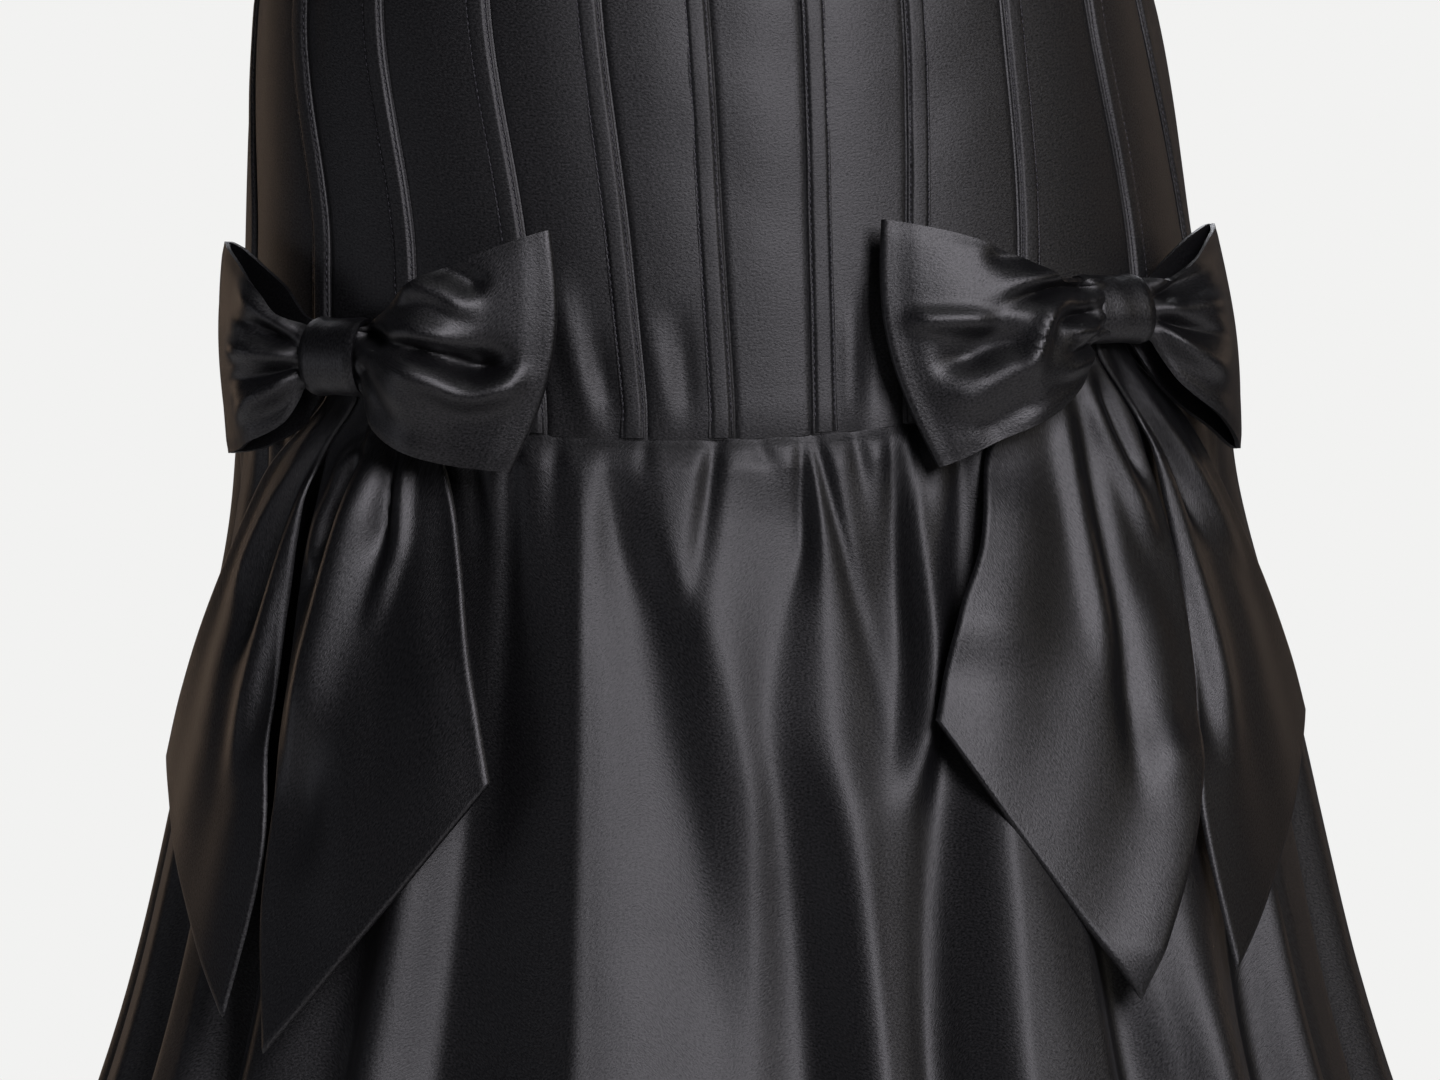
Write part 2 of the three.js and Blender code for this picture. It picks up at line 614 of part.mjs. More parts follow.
function fromManifold(name, body, look) {
  const mesh = body.getMesh();
  const geometry = new THREE.BufferGeometry();
  geometry.setAttribute("position", new THREE.Float32BufferAttribute(mesh.vertProperties, 3));
  geometry.setIndex(new THREE.Uint32BufferAttribute(mesh.triVerts, 1));
  geometry.computeVertexNormals();
  const result = new THREE.Mesh(geometry, material(look));
  result.name = name;
  return result;
}

function box(width, depth, height, x, y, z) {
  return toManifold(new THREE.BoxGeometry(width, depth, height).translate(x, y, z));
}

function crossBar(radius, length, sides, y) {
  return toManifold(new THREE.CylinderGeometry(radius, radius, length, sides).rotateZ(Math.PI / 2).translate(0, y, 0));
}

// In the zip's own frame +Y faces out of the back and the pin lies along X at height 0
function zipSlider() {
  const plate = box(PLATE.width, PLATE.depth, PLATE.height, 0, PLATE.depth / 2, 0);
  const earOut = (EAR.depth + PLATE.depth / 2) / 2;
  const earX = EAR.apart / 2 + EAR.width / 2;
  const ears = [-1, 1].map((side) => box(EAR.width, EAR.depth - PLATE.depth / 2, EAR.height, side * earX, earOut, 0));
  const pin = crossBar(PIN.radius, EAR.apart + EAR.width, 12, PIN.out);
  return fromManifold("zip_slider", plate.add(ears[0]).add(ears[1]).add(pin), NICKEL);
}

function zipTab() {
  const eye = crossBar(TAB.eye, TAB.neck, 20, PIN.out);
  const bore = crossBar(TAB.bore, TAB.neck * 2, 20, PIN.out);
  const shape = new THREE.Shape();
  const neck = TAB.neck / 2;
  const half = TAB.width / 2;
  const shoulder = -EAR.height - 0.6;
  shape.moveTo(-neck, -TAB.bore - 0.3);
  shape.lineTo(-neck, shoulder + 1);
  shape.quadraticCurveTo(-neck, shoulder, -half + 0.4, shoulder - 1.4);
  shape.lineTo(-half, -TAB.length + half);
  shape.absarc(0, -TAB.length + half, half, Math.PI, 2 * Math.PI, false);
  shape.lineTo(half - 0.4, shoulder - 1.4);
  shape.quadraticCurveTo(neck, shoulder, neck, shoulder + 1);
  shape.lineTo(neck, -TAB.bore - 0.3);
  shape.closePath();
  const plate = new THREE.ExtrudeGeometry(shape, { depth: TAB.thickness, bevelEnabled: false, curveSegments: 6 });
  plate.rotateX(Math.PI / 2);
  plate.translate(0, PIN.out + TAB.thickness / 2, 0);
  return fromManifold("zip_tab", toManifold(plate).add(eye).subtract(bore), NICKEL);
}

// The zip's frame stands at the centre back, turned with the body
function zip() {
  const group = new THREE.Group();
  const at = bodyPoint(180, ZIP_HEIGHT, BODICE_WALL / 2 + SEAM_GAP);
  group.position.copy(at);
  group.rotation.z = figure.turn(ZIP_HEIGHT) * RAD;
  group.add(zipSlider(), zipTab());
  return group;
}

const gown = new THREE.Group();
for (let index = 0; index < PANEL_NAMES.length; index += 1) gown.add(bodicePanel(index));
for (let number = 1; number <= BONES.length; number += 1) {
  for (const side of [-1, 1]) gown.add(boneChannel(number, side));
}
for (const panel of SKIRT_PANELS) gown.add(skirtPanel(panel));
for (const bow of BOWS) {
  gown.add(knot(bow));
  gown.add(loop(bow, "inner", LOOPS[bow.name], 1, 1));
  gown.add(loop(bow, "outer", LOOPS[bow.name], -1, bow.outerScale));
  gown.add(tail(bow, "inner", TAILS[`inner_${bow.name}`]));
  gown.add(tail(bow, "outer", TAILS.outer));
}
gown.add(zip());

export default gown;
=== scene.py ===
"""Black satin ball gown, dressed round its frame: bodice, gathered skirt, two hip bows, back zip."""
import logging
import math
from dataclasses import dataclass, field
from enum import Enum, IntEnum
from typing import Callable, Sequence

import bpy
import numpy as np
from bpy.types import Material, Node, NodeSocket, NodeTree, Object
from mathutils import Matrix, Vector


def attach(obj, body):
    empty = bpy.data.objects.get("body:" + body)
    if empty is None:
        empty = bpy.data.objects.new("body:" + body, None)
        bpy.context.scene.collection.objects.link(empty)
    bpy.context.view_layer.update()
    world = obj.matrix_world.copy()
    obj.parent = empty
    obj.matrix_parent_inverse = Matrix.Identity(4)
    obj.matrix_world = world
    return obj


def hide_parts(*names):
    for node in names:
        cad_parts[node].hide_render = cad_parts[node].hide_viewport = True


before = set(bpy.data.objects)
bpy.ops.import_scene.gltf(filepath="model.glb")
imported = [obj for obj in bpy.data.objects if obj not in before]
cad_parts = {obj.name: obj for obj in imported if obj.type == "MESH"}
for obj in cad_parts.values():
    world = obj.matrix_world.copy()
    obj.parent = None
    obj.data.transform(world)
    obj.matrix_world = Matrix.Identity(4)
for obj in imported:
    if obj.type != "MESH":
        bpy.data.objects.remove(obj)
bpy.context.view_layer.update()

logging.basicConfig(level=logging.INFO, format="%(message)s")
LOG = logging.getLogger("gown")

# Garment sizes are in millimetres and degrees, as a cutter writes them; meshes are built in metres.
# Angles go round the body: 0 at the centre front, positive towards the wearer's left, 180 at the back.
MM = 0.001
RAD = math.pi / 180.0
GOWN_BODY = "gown"
CLOTH_SMOOTH_BELOW = math.radians(50)
WELD_WITHIN = 0.00001

# Smallest length that a direction is divided by, and how near to an edge a share counts as on it
TINY = 1e-9
AT_EDGE = 1e-6

Array = np.ndarray
# Gives points in millimetres from shares across and up a piece, 0 to 1
Rule = Callable[[Array, Array], Array]


class Way(IntEnum):
    """A choice between two ways, as the sign of the way."""

    @property
    def word(self) -> str:
        """The way as the pieces' names have it."""
        return self.name.lower()


class Side(Way):
    """The wearer's right or left, by the sign of the angles there."""

    RIGHT = -1
    LEFT = 1


class Facing(Way):
    """Whether a loop goes from its knot in towards the centre front or out round the hip."""

    INNER = 1
    OUTER = -1


def mix(a: float | Array, b: float | Array, share: float | Array) -> float | Array:
    """Straight change from one value to another."""
    return a + (b - a) * share


def bell(away: Array) -> Array:
    """Soft bump of height 1 that fades on both sides."""
    return np.exp(-away * away)


def ease(share: Array) -> Array:
    """Smooth rise from 0 to 1."""
    s = np.clip(share, 0.0, 1.0)
    return s * s * (3.0 - 2.0 * s)


def unit(directions: Array) -> Array:
    """Directions of length 1, one in each row."""
    return directions / (np.linalg.norm(directions, axis=-1, keepdims=True) + TINY)


def smooth_slopes(slopes: Array) -> Array:
    """Slopes at the inner places of a line that never overshoots, from those between its places."""
    before, after = slopes[:-1], slopes[1:]
    same = before * after > 0
    return np.where(same, 2 * before * after / np.where(same, before + after, 1.0), 0.0)


def cross_step(s: Array, width: Array, values: Sequence[Array], slopes: Sequence[Array]) -> Array:
    """Smooth change across one step of a line.

    Args:
        s: share of the step, 0 to 1.
        width: width of the step.
        values, slopes: those at its two ends.
    Returns:
        The value there.
    """
    r = 1.0 - s
    start = (1 + 2 * s) * r * r * values[0] + s * r * r * width * slopes[0]
    end = s * s * (3 - 2 * s) * values[1] - s * s * r * width * slopes[1]
    return start + end


class Curve:
    """Smooth curve through a table's values, which never overshoots between them."""

    def __init__(self, places: Sequence[float], values: Sequence[float]) -> None:
        """Args: places: where each value holds. values: the values there."""
        order = np.argsort(places)
        self.places = np.asarray(places, float)[order]
        self.values = np.asarray(values, float)[order]
        slope = np.diff(self.values) / np.diff(self.places)
        self.tangents = np.concatenate([slope[:1], smooth_slopes(slope), slope[-1:]])

    def __call__(self, place: float | Array) -> Array:
        """Value at a place, held constant beyond the table's ends."""
        x = np.asarray(place, float)
        k = np.clip(np.searchsorted(self.places, x, side="right") - 1, 0, len(self.places) - 2)
        width = self.places[k + 1] - self.places[k]
        s = np.clip((x - self.places[k]) / width, 0.0, 1.0)
        ends = (self.values[k], self.values[k + 1])
        return cross_step(s, width, ends, (self.tangents[k], self.tangents[k + 1]))


@dataclass(frozen=True)
class FigureRow:
    """One level of the hollow worn form."""

    z: float
    half: float
    front: float
    back: float
    sway: float
    turn: float
    slew: float


@dataclass
class Figure:
    """The hollow form that the gown keeps: an ellipse at each height, swayed and turned with the pose."""

    rows: tuple[FigureRow, ...] = (
        FigureRow(-1080, 545, 500, 505, 15, 0, 8),
        FigureRow(-800, 400, 356, 364, 22, 0, 8),
        FigureRow(-600, 299, 256, 263, 26, 0, 8),
        FigureRow(-420, 223, 181, 187, 28, 0, 8),
        FigureRow(-300, 192, 147, 150, 27, 1, 8),
        FigureRow(-210, 170, 122, 120, 24, 2, 8),
        FigureRow(-152, 164, 117, 114, 19, 3.5, 8),
        FigureRow(-66, 155, 109, 104, 14, 4.6, 0),
        FigureRow(0, 134, 96, 91, 6, 5.5, 0),
        FigureRow(85, 137, 99, 96, -3, 6, 0),
        FigureRow(155, 152, 108, 97, -8, 6, 0),
        FigureRow(240, 150, 104, 96, -12, 6, 0),
    )

    def __post_init__(self) -> None:
        """Turns the rows into smooth curves, one for each size."""
        heights = [row.z for row in self.rows]
        names = ("half", "front", "back", "sway", "turn", "slew")
        self.curves = {name: Curve(heights, [getattr(row, name) for row in self.rows]) for name in names}

    def point(self, angle: Array, z: Array, lift: Array) -> Array:
        """A place on the body, moved out of its surface.

        Args:
            angle: degrees round the body.
            z: height in millimetres.
            lift: distance out of the surface in millimetres.
        Returns:
            Points in millimetres, one row each.
        """
        angle, z, lift = np.broadcast_arrays(*(np.asarray(v, float) for v in (angle, z, lift)))
        at = {name: curve(z) for name, curve in self.curves.items()}
        c, s = np.cos(angle * RAD), np.sin(angle * RAD)
        depth = np.where(c > 0, at["front"], at["back"])
        nx, ny = s / at["half"], -c / depth
        size = np.hypot(nx, ny)
        x = at["half"] * s + nx / size * lift
        y = -depth * c + ny / size * lift
        turn = at["turn"] * RAD
        swayed = x * np.cos(turn) - y * np.sin(turn) + at["sway"]
        return np.stack([swayed, x * np.sin(turn) + y * np.cos(turn), z], axis=-1)

    def mm_per_degree(self, angle: Array, z: Array) -> Array:
        """Length of cloth round the body that one degree takes."""
        step = 0.5
        return np.linalg.norm(self.point(angle + step, z, 0) - self.point(angle - step, z, 0), axis=-1)


FIGURE = Figure()


@dataclass(frozen=True)
class Crease:
    """A soft trough (depth below 0) or ridge (depth above 0) along a line drawn on the cloth.

    Its ends fade over a share of its length, but a rooted one starts full, in a knot.
    """

    path: tuple[tuple[float, float], ...]
    depth: float
    width: float
    far_width: float | None = None
    taper: float = 0.3
    rooted: bool = False
    rooted_taper: float = 0.7
    steps_a_point: int = 4

    def lift(self, x: Array, y: Array) -> Array:
        """Lift that the crease gives at places on the cloth.

        Args:
            x, y: places across and along the cloth, in the same measure as the path.
        Returns:
            Lift in millimetres.
        """
        raw = np.asarray(self.path, float)
        steps = np.linspace(0, len(raw) - 1, self.steps_a_point * (len(raw) - 1) + 1)
        marks = range(len(raw))
        line = np.stack([Curve(marks, raw[:, 0])(steps), Curve(marks, raw[:, 1])(steps)], axis=-1)
        lengths = np.hypot(*np.diff(line, axis=0).T)
        whole = lengths.sum()
        best = np.full(x.shape, np.inf)
        along = np.zeros(x.shape)
        side = np.ones(x.shape)
        run = 0.0
        for start, end, length in zip(line[:-1], line[1:], lengths):
            dx, dy = (end - start) / length
            t = np.clip(((x - start[0]) * dx + (y - start[1]) * dy), 0, length)
            ax, ay = x - start[0] - t * dx, y - start[1] - t * dy
            away = np.hypot(ax, ay)
            near = away < best
            best = np.where(near, away, best)
            along = np.where(near, (run + t) / whole, along)
            side = np.where(near, np.sign(dx * ay - dy * ax), side)
            run += length
        width = np.where(side > 0, self.width, self.far_width or self.width)
        start = np.ones(x.shape) if self.rooted else ease(along / self.taper)
        ends = start * ease((1 - along) / (self.rooted_taper if self.rooted else self.taper))
        return self.depth * bell(best / width) * ends


def creased(creases: Sequence[Crease], x: Array, y: Array) -> Array:
    """Sum of the lifts of several creases."""
    total = np.zeros(np.broadcast(x, y).shape)
    for crease in creases:
        total = total + crease.lift(x, y)
    return total


class Held(Enum):
    """How the gown holds a cut piece of cloth, in the frame's own words."""

    STRETCHED = "stretched"
    GATHERED = "gathered"
    FOLDED = "folded"
    HUNG = "hung"


def deselect() -> None:
    """Clears the selection, which the frame leaves full."""
    if bpy.context.object and bpy.context.object.mode != "OBJECT":
        bpy.ops.object.mode_set(mode="OBJECT")
    bpy.ops.object.select_all(action="DESELECT")


def activate(piece: Object) -> None:
    """Selects one piece alone."""
    deselect()
    piece.select_set(True)
    bpy.context.view_layer.objects.active = piece


def apply_modifier(piece: Object, kind: str, **settings: object) -> None:
    """Adds a modifier to a piece and applies it.

    Args:
        piece: the mesh object.
        kind: Blender's modifier type.
        settings: the modifier's own values.
    """
    activate(piece)
    modifier = piece.modifiers.new(kind.title(), kind)
    for name, value in settings.items():
        setattr(modifier, name, value)
    bpy.ops.object.modifier_apply(modifier=modifier.name)


def flat_map(points: Array) -> Array:
    """Flat map of a grid of cloth in metres, from its real lengths across and down.

    Args:
        points: rows by columns by 3, in metres.
    Returns:
        Rows by columns by 2.
    """
    across = np.linalg.norm(np.diff(points, axis=1), axis=-1)
    down = np.linalg.norm(np.diff(points, axis=0), axis=-1)
    middle = across.shape[1] // 2
    u = np.concatenate([np.zeros((points.shape[0], 1)), np.cumsum(across, axis=1)], axis=1)
    u = u - u[:, middle:middle + 1]
    v = np.concatenate([np.zeros((1, points.shape[1])), np.cumsum(down, axis=0)], axis=0)
    return np.stack([u, v], axis=-1)


def take_apart(piece: Object) -> tuple[Array, list[tuple[int, ...]]]:
    """Points and faces of a primitive, which is then removed."""
    points = np.array([tuple(v.co) for v in piece.data.vertices])
    faces = [tuple(f.vertices) for f in piece.data.polygons]
    bpy.data.objects.remove(piece, do_unlink=True)
    return points, faces


def mesh_piece(name: str, points: Array, faces: list) -> Object:
    """Makes a piece that rides on the gown.

    Args:
        name: the piece's name.
        points: its points in millimetres, one row each.
        faces: its faces, as point numbers.
    Returns:
        The piece, selected alone.
    """
    mesh = bpy.data.meshes.new(name)
    mesh.from_pydata((points * MM).tolist(), [], faces)
    mesh.update()
    piece = bpy.data.objects.new(name, mesh)
    bpy.context.collection.objects.link(piece)
    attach(piece, GOWN_BODY)
    activate(piece)
    return piece


@dataclass
class Cloth:
    """One cut piece of cloth: a grid primitive laid out by a rule, then given its thickness."""

    name: str
    columns: int
    rows: int
    thickness: float
    replaces: tuple[str, ...] = ()
    closed: bool = False
    outward: float = -1.0
    area: float = 0.0
    width: float = 0.0
    length: float = 0.0

    def build(self, place: Rule) -> Object:
        """Makes the piece.

        Args:
            place: gives points in millimetres from shares across and up, 0 to 1.
        Returns:
            The finished mesh object.
        """
        deselect()
        bpy.ops.mesh.primitive_grid_add(x_subdivisions=self.columns, y_subdivisions=self.rows, size=1.0)
        piece = bpy.context.object
        piece.name = self.name
        piece.data.name = self.name
        mesh = piece.data
        flat = np.empty(len(mesh.vertices) * 3)
        mesh.vertices.foreach_get("co", flat)
        shares = flat.reshape(-1, 3)[:, :2] + 0.5
        points = place(shares[:, 0], shares[:, 1]) * MM
        mesh.vertices.foreach_set("co", points.ravel())
        grid = points.reshape(self.rows + 1, self.columns + 1, 3)
        self.measure(grid)
        uv = flat_map(grid).reshape(-1, 2)
        corners = np.empty(len(mesh.loops), dtype=np.int64)
        mesh.loops.foreach_get("vertex_index", corners)
        mesh.uv_layers[0].name = "cloth"
        mesh.uv_layers[0].data.foreach_set("uv", uv[corners].ravel())
        mesh.update()
        if self.closed:
            apply_modifier(piece, "WELD", merge_threshold=WELD_WITHIN)
        apply_modifier(
            piece, "SOLIDIFY", thickness=self.thickness * MM, offset=self.outward, use_even_offset=False,
        )
        activate(piece)
        bpy.ops.object.shade_smooth_by_angle(angle=CLOTH_SMOOTH_BELOW)
        for node in self.replaces:
            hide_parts(node)
        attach(piece, GOWN_BODY)
        return piece

    def make(
        self, place: Rule, material: Material, held: Held,
    ) -> None:
        """Args:
            place: its rule, as for build.
            material: its finish.
            held: how it is held.
        """
        piece = self.build(place)
        dress(piece, material)
        declare(self, held)

    def measure(self, grid: Array) -> None:
        """Notes the area, width and length of the cloth in metres, from its grid of points."""
        across, up = np.diff(grid, axis=1), np.diff(grid, axis=0)
        cells = np.linalg.norm(np.cross(across[:-1], up[:, :-1]), axis=-1)
        self.area = float(cells.sum())
        self.width = float(np.linalg.norm(across, axis=-1).sum(axis=1).max())
        self.length = float(np.linalg.norm(up, axis=-1).sum(axis=0).max())


def linear(colour: str) -> tuple[float, float, float, float]:
    """Linear colour from an sRGB hex value such as 1a191d."""
    parts = [int(colour[k:k + 2], 16) / 255 for k in (0, 2, 4)]
    red, green, blue = (p / 12.92 if p <= 0.04045 else ((p + 0.055) / 1.055) ** 2.4 for p in parts)
    return (red, green, blue, 1.0)


def node(tree: NodeTree, kind: str, settings: dict | None = None, **links: object) -> Node:
    """Adds a node to a tree.

    Args:
        tree: the material's or world's node tree.
        kind: Blender's node type.
        settings: the node's own properties by name, and its sockets' values by number.
        links: sockets by name, with _ for a space, each given a value or another node's output.
    Returns:
        The new node.
    """
    made = tree.nodes.new(kind)
    for name, value in (settings or {}).items():
        if isinstance(name, int):
            if isinstance(value, NodeSocket):
                tree.links.new(value, made.inputs[name])
            else:
                made.inputs[name].default_value = value
        else:
            setattr(made, name, value)
    for name, value in links.items():
        socket = made.inputs[name.replace("_", " ")]
        if isinstance(value, NodeSocket):
            tree.links.new(value, socket)
        else:
            socket.default_value = value
    return made


def start_material(name: str) -> tuple[Material, NodeTree]:
    """New material with an empty node tree."""
    made = bpy.data.materials.new(name)
    made.use_nodes = True
    made.node_tree.nodes.clear()
    return made, made.node_tree


@dataclass(frozen=True)
class DuchessSatin:
    """Duchess satin: polyester filament woven with long floats and calendered.

    The floats lie side by side, so the eye sees a deep black with a soft, slightly cool sheen that
    spreads across the threads, a faint slub and the fine unevenness of cloth that has been pressed.
    """

    name: str
    shade: str = "050506"
    bright_shade: str = "0a0a0c"
    roughness: float = 0.47
    roughness_spread: float = 0.08
    # The glint of single floats comes from a specular level that varies with them
    specular: float = 0.5
    specular_spread: float = 0.275
    anisotropy: float = 0.3
    sheen: float = 0.008
    sheen_roughness: float = 0.45
    sheen_tint: str = "b9b6c4"
    # The real floats are about 0.1 mm wide, too fine to show, so they are drawn coarser
    thread_mm: float = 0.7
    float_length: float = 1.4
    slub_mm: float = 1.6
    slub_length: float = 3.0
    pucker_mm: float = 30.0
    # Strength of each bump, and its depth in metres
    float_bump: tuple[float, float] = (0.45, 0.0003)
    slub_bump: tuple[float, float] = (0.08, 0.0006)
    pucker_bump: tuple[float, float] = (0.12, 0.003)
    # Nearly all of a noise lies between these
    noise_range: tuple[float, float] = (0.3, 0.7)

    def streaks(
        self, tree: NodeTree, place: NodeSocket, width: float, length: float, **noise: float,
    ) -> NodeSocket:
        """Noise drawn out along the cloth.

        Args:
            tree: the material's node tree.
            place: the cloth's flat map.
            width: width of a streak in millimetres.
            length: its length, in widths.
            noise: the noise's own settings.
        Returns:
            The noise.
        """
        mapped = node(tree, "ShaderNodeMapping", Vector=place)
        mapped.inputs["Scale"].default_value = (1 / (width * length * MM), 1 / (width * MM), 1)
        return node(tree, "ShaderNodeTexNoise", Vector=mapped.outputs[0], Scale=1.0, **noise).outputs["Fac"]

    def build(self) -> Material:
        """Makes the material, which reads the cloth's own flat map in metres."""
        made, tree = start_material(self.name)
        place = node(tree, "ShaderNodeUVMap", {"uv_map": "cloth"}).outputs["UV"]
        solid = node(tree, "ShaderNodeTexCoord").outputs["Object"]
        floats = self.streaks(tree, place, self.thread_mm, self.float_length, Detail=3.0, Roughness=0.7)
        slub = self.streaks(tree, place, self.slub_mm, self.slub_length, Detail=4.0, Roughness=0.6)
        pucker = node(
            tree, "ShaderNodeTexNoise", Vector=solid, Scale=1 / (self.pucker_mm * MM), Detail=2.5,
            Roughness=0.5,
        )
        under: dict[str, NodeSocket] = {}
        for (strength, depth), height in (
            (self.float_bump, floats), (self.slub_bump, slub), (self.pucker_bump, pucker.outputs["Fac"]),
        ):
            bumps = node(tree, "ShaderNodeBump", Strength=strength, Distance=depth, Height=height, **under)
            under = {"Normal": bumps.outputs[0]}
        low, high = self.noise_range
        gloss, glint = (
            node(tree, "ShaderNodeMapRange", {0: floats, 1: low, 2: high, 3: middle - way, 4: middle + way})
            for middle, way in (
                (self.roughness, self.roughness_spread), (self.specular, self.specular_spread),
            )
        )
        shade = node(
            tree, "ShaderNodeMix",
            {"data_type": "RGBA", 0: slub, 6: linear(self.shade), 7: linear(self.bright_shade)},
        )
        tangent = node(tree, "ShaderNodeTangent", {"direction_type": "UV_MAP", "uv_map": "cloth"})
        shader = node(
            tree, "ShaderNodeBsdfPrincipled",
            Base_Color=shade.outputs[2], Roughness=gloss.outputs[0], Specular_IOR_Level=glint.outputs[0],
            Tangent=tangent.outputs[0], Anisotropic=self.anisotropy, IOR=1.5,
            Sheen_Weight=self.sheen, Sheen_Roughness=self.sheen_roughness,
            Sheen_Tint=linear(self.sheen_tint), **under,
        )
        node(tree, "ShaderNodeOutputMaterial", Surface=shader.outputs[0])
        return made


@dataclass(frozen=True)
class SewingThread:
    """Spun polyester sewing thread: matt black, twisted, a little lighter than the satin in the light."""

    name: str = "sewing_thread"
    shade: str = "2c2b30"
    twist_mm: float = 0.6
    twist_bump: tuple[float, float] = (0.4, 0.0002)

    def build(self) -> Material:
        """Makes the material."""
        made, tree = start_material(self.name)
        solid = node(tree, "ShaderNodeTexCoord").outputs["Object"]
        twist = node(tree, "ShaderNodeTexNoise", Vector=solid, Scale=1 / (self.twist_mm * MM), Detail=1.0)
        strength, depth = self.twist_bump
        bumps = node(
            tree, "ShaderNodeBump", Strength=strength, Distance=depth, Height=twist.outputs["Fac"],
        )
        shader = node(
            tree, "ShaderNodeBsdfPrincipled", Base_Color=linear(self.shade), Roughness=0.6,
            Normal=bumps.outputs[0],
        )
        node(tree, "ShaderNodeOutputMaterial", Surface=shader.outputs[0])
        return made


@dataclass(frozen=True)
class LacqueredZinc:
    """Die-cast zinc, lacquered black: a smooth dark gloss with faint casting waves and rubbed spots."""

    name: str = "lacquered_zinc"
    shade: str = "1c1c1e"
    rubbed: str = "4a4a4c"
    rubbed_from: float = 0.58
    rubbed_at: float = 0.75
    wave_mm: float = 1.4
    wave_bump: tuple[float, float] = (0.1, 0.0002)

    def build(self) -> Material:
        """Makes the material."""
        made, tree = start_material(self.name)
        solid = node(tree, "ShaderNodeTexCoord").outputs["Object"]
        waves = node(tree, "ShaderNodeTexNoise", Vector=solid, Scale=1 / (self.wave_mm * MM), Detail=3.0)
        height = waves.outputs["Fac"]
        worn = node(
            tree, "ShaderNodeMapRange", {0: height, 1: self.rubbed_from, 2: self.rubbed_at, 3: 0.0, 4: 1.0},
        )
        shade = node(
            tree, "ShaderNodeMix",
            {"data_type": "RGBA", 0: worn.outputs[0], 6: linear(self.shade), 7: linear(self.rubbed)},
        )
        strength, depth = self.wave_bump
        bumps = node(tree, "ShaderNodeBump", Strength=strength, Distance=depth, Height=height)
        shader = node(
            tree, "ShaderNodeBsdfPrincipled", Base_Color=shade.outputs[2], Metallic=0.9, Roughness=0.3,
            Normal=bumps.outputs[0],
        )
        node(tree, "ShaderNodeOutputMaterial", Surface=shader.outputs[0])
        return made


def dress(piece: Object, material: Material) -> None:
    """Gives a piece its one material."""
    piece.data.materials.clear()
    piece.data.materials.append(material)


# Neighbouring pieces lap by this much, as sewn edges do, so that no light shows between them
SEAM_LAP = 0.3
# Passes that settle an angle and a height which depend on each other
SETTLING_PASSES = 3
HEM_HEIGHT = -1080.0
WAIST_SEAM_HEIGHT = -210.0
WAIST_SEAM_SIDE_RISE = 24.0
# Rise of the seam at the left hip, and its fall at the right one
WAIST_SEAM_TILT = 9.4
# Height of the neckline by the angle from the centre front
NECKLINE = Curve([0, 35, 70, 90, 130, 180], [176, 206, 178, 168, 150, 146])


def waist_seam(angle: Array) -> Array:
    """Height of the dropped waist seam, which dips at the front and rises with the raised hip."""
    s = np.sin(np.asarray(angle) * RAD)
    return WAIST_SEAM_HEIGHT + WAIST_SEAM_SIDE_RISE * s * s + WAIST_SEAM_TILT * s


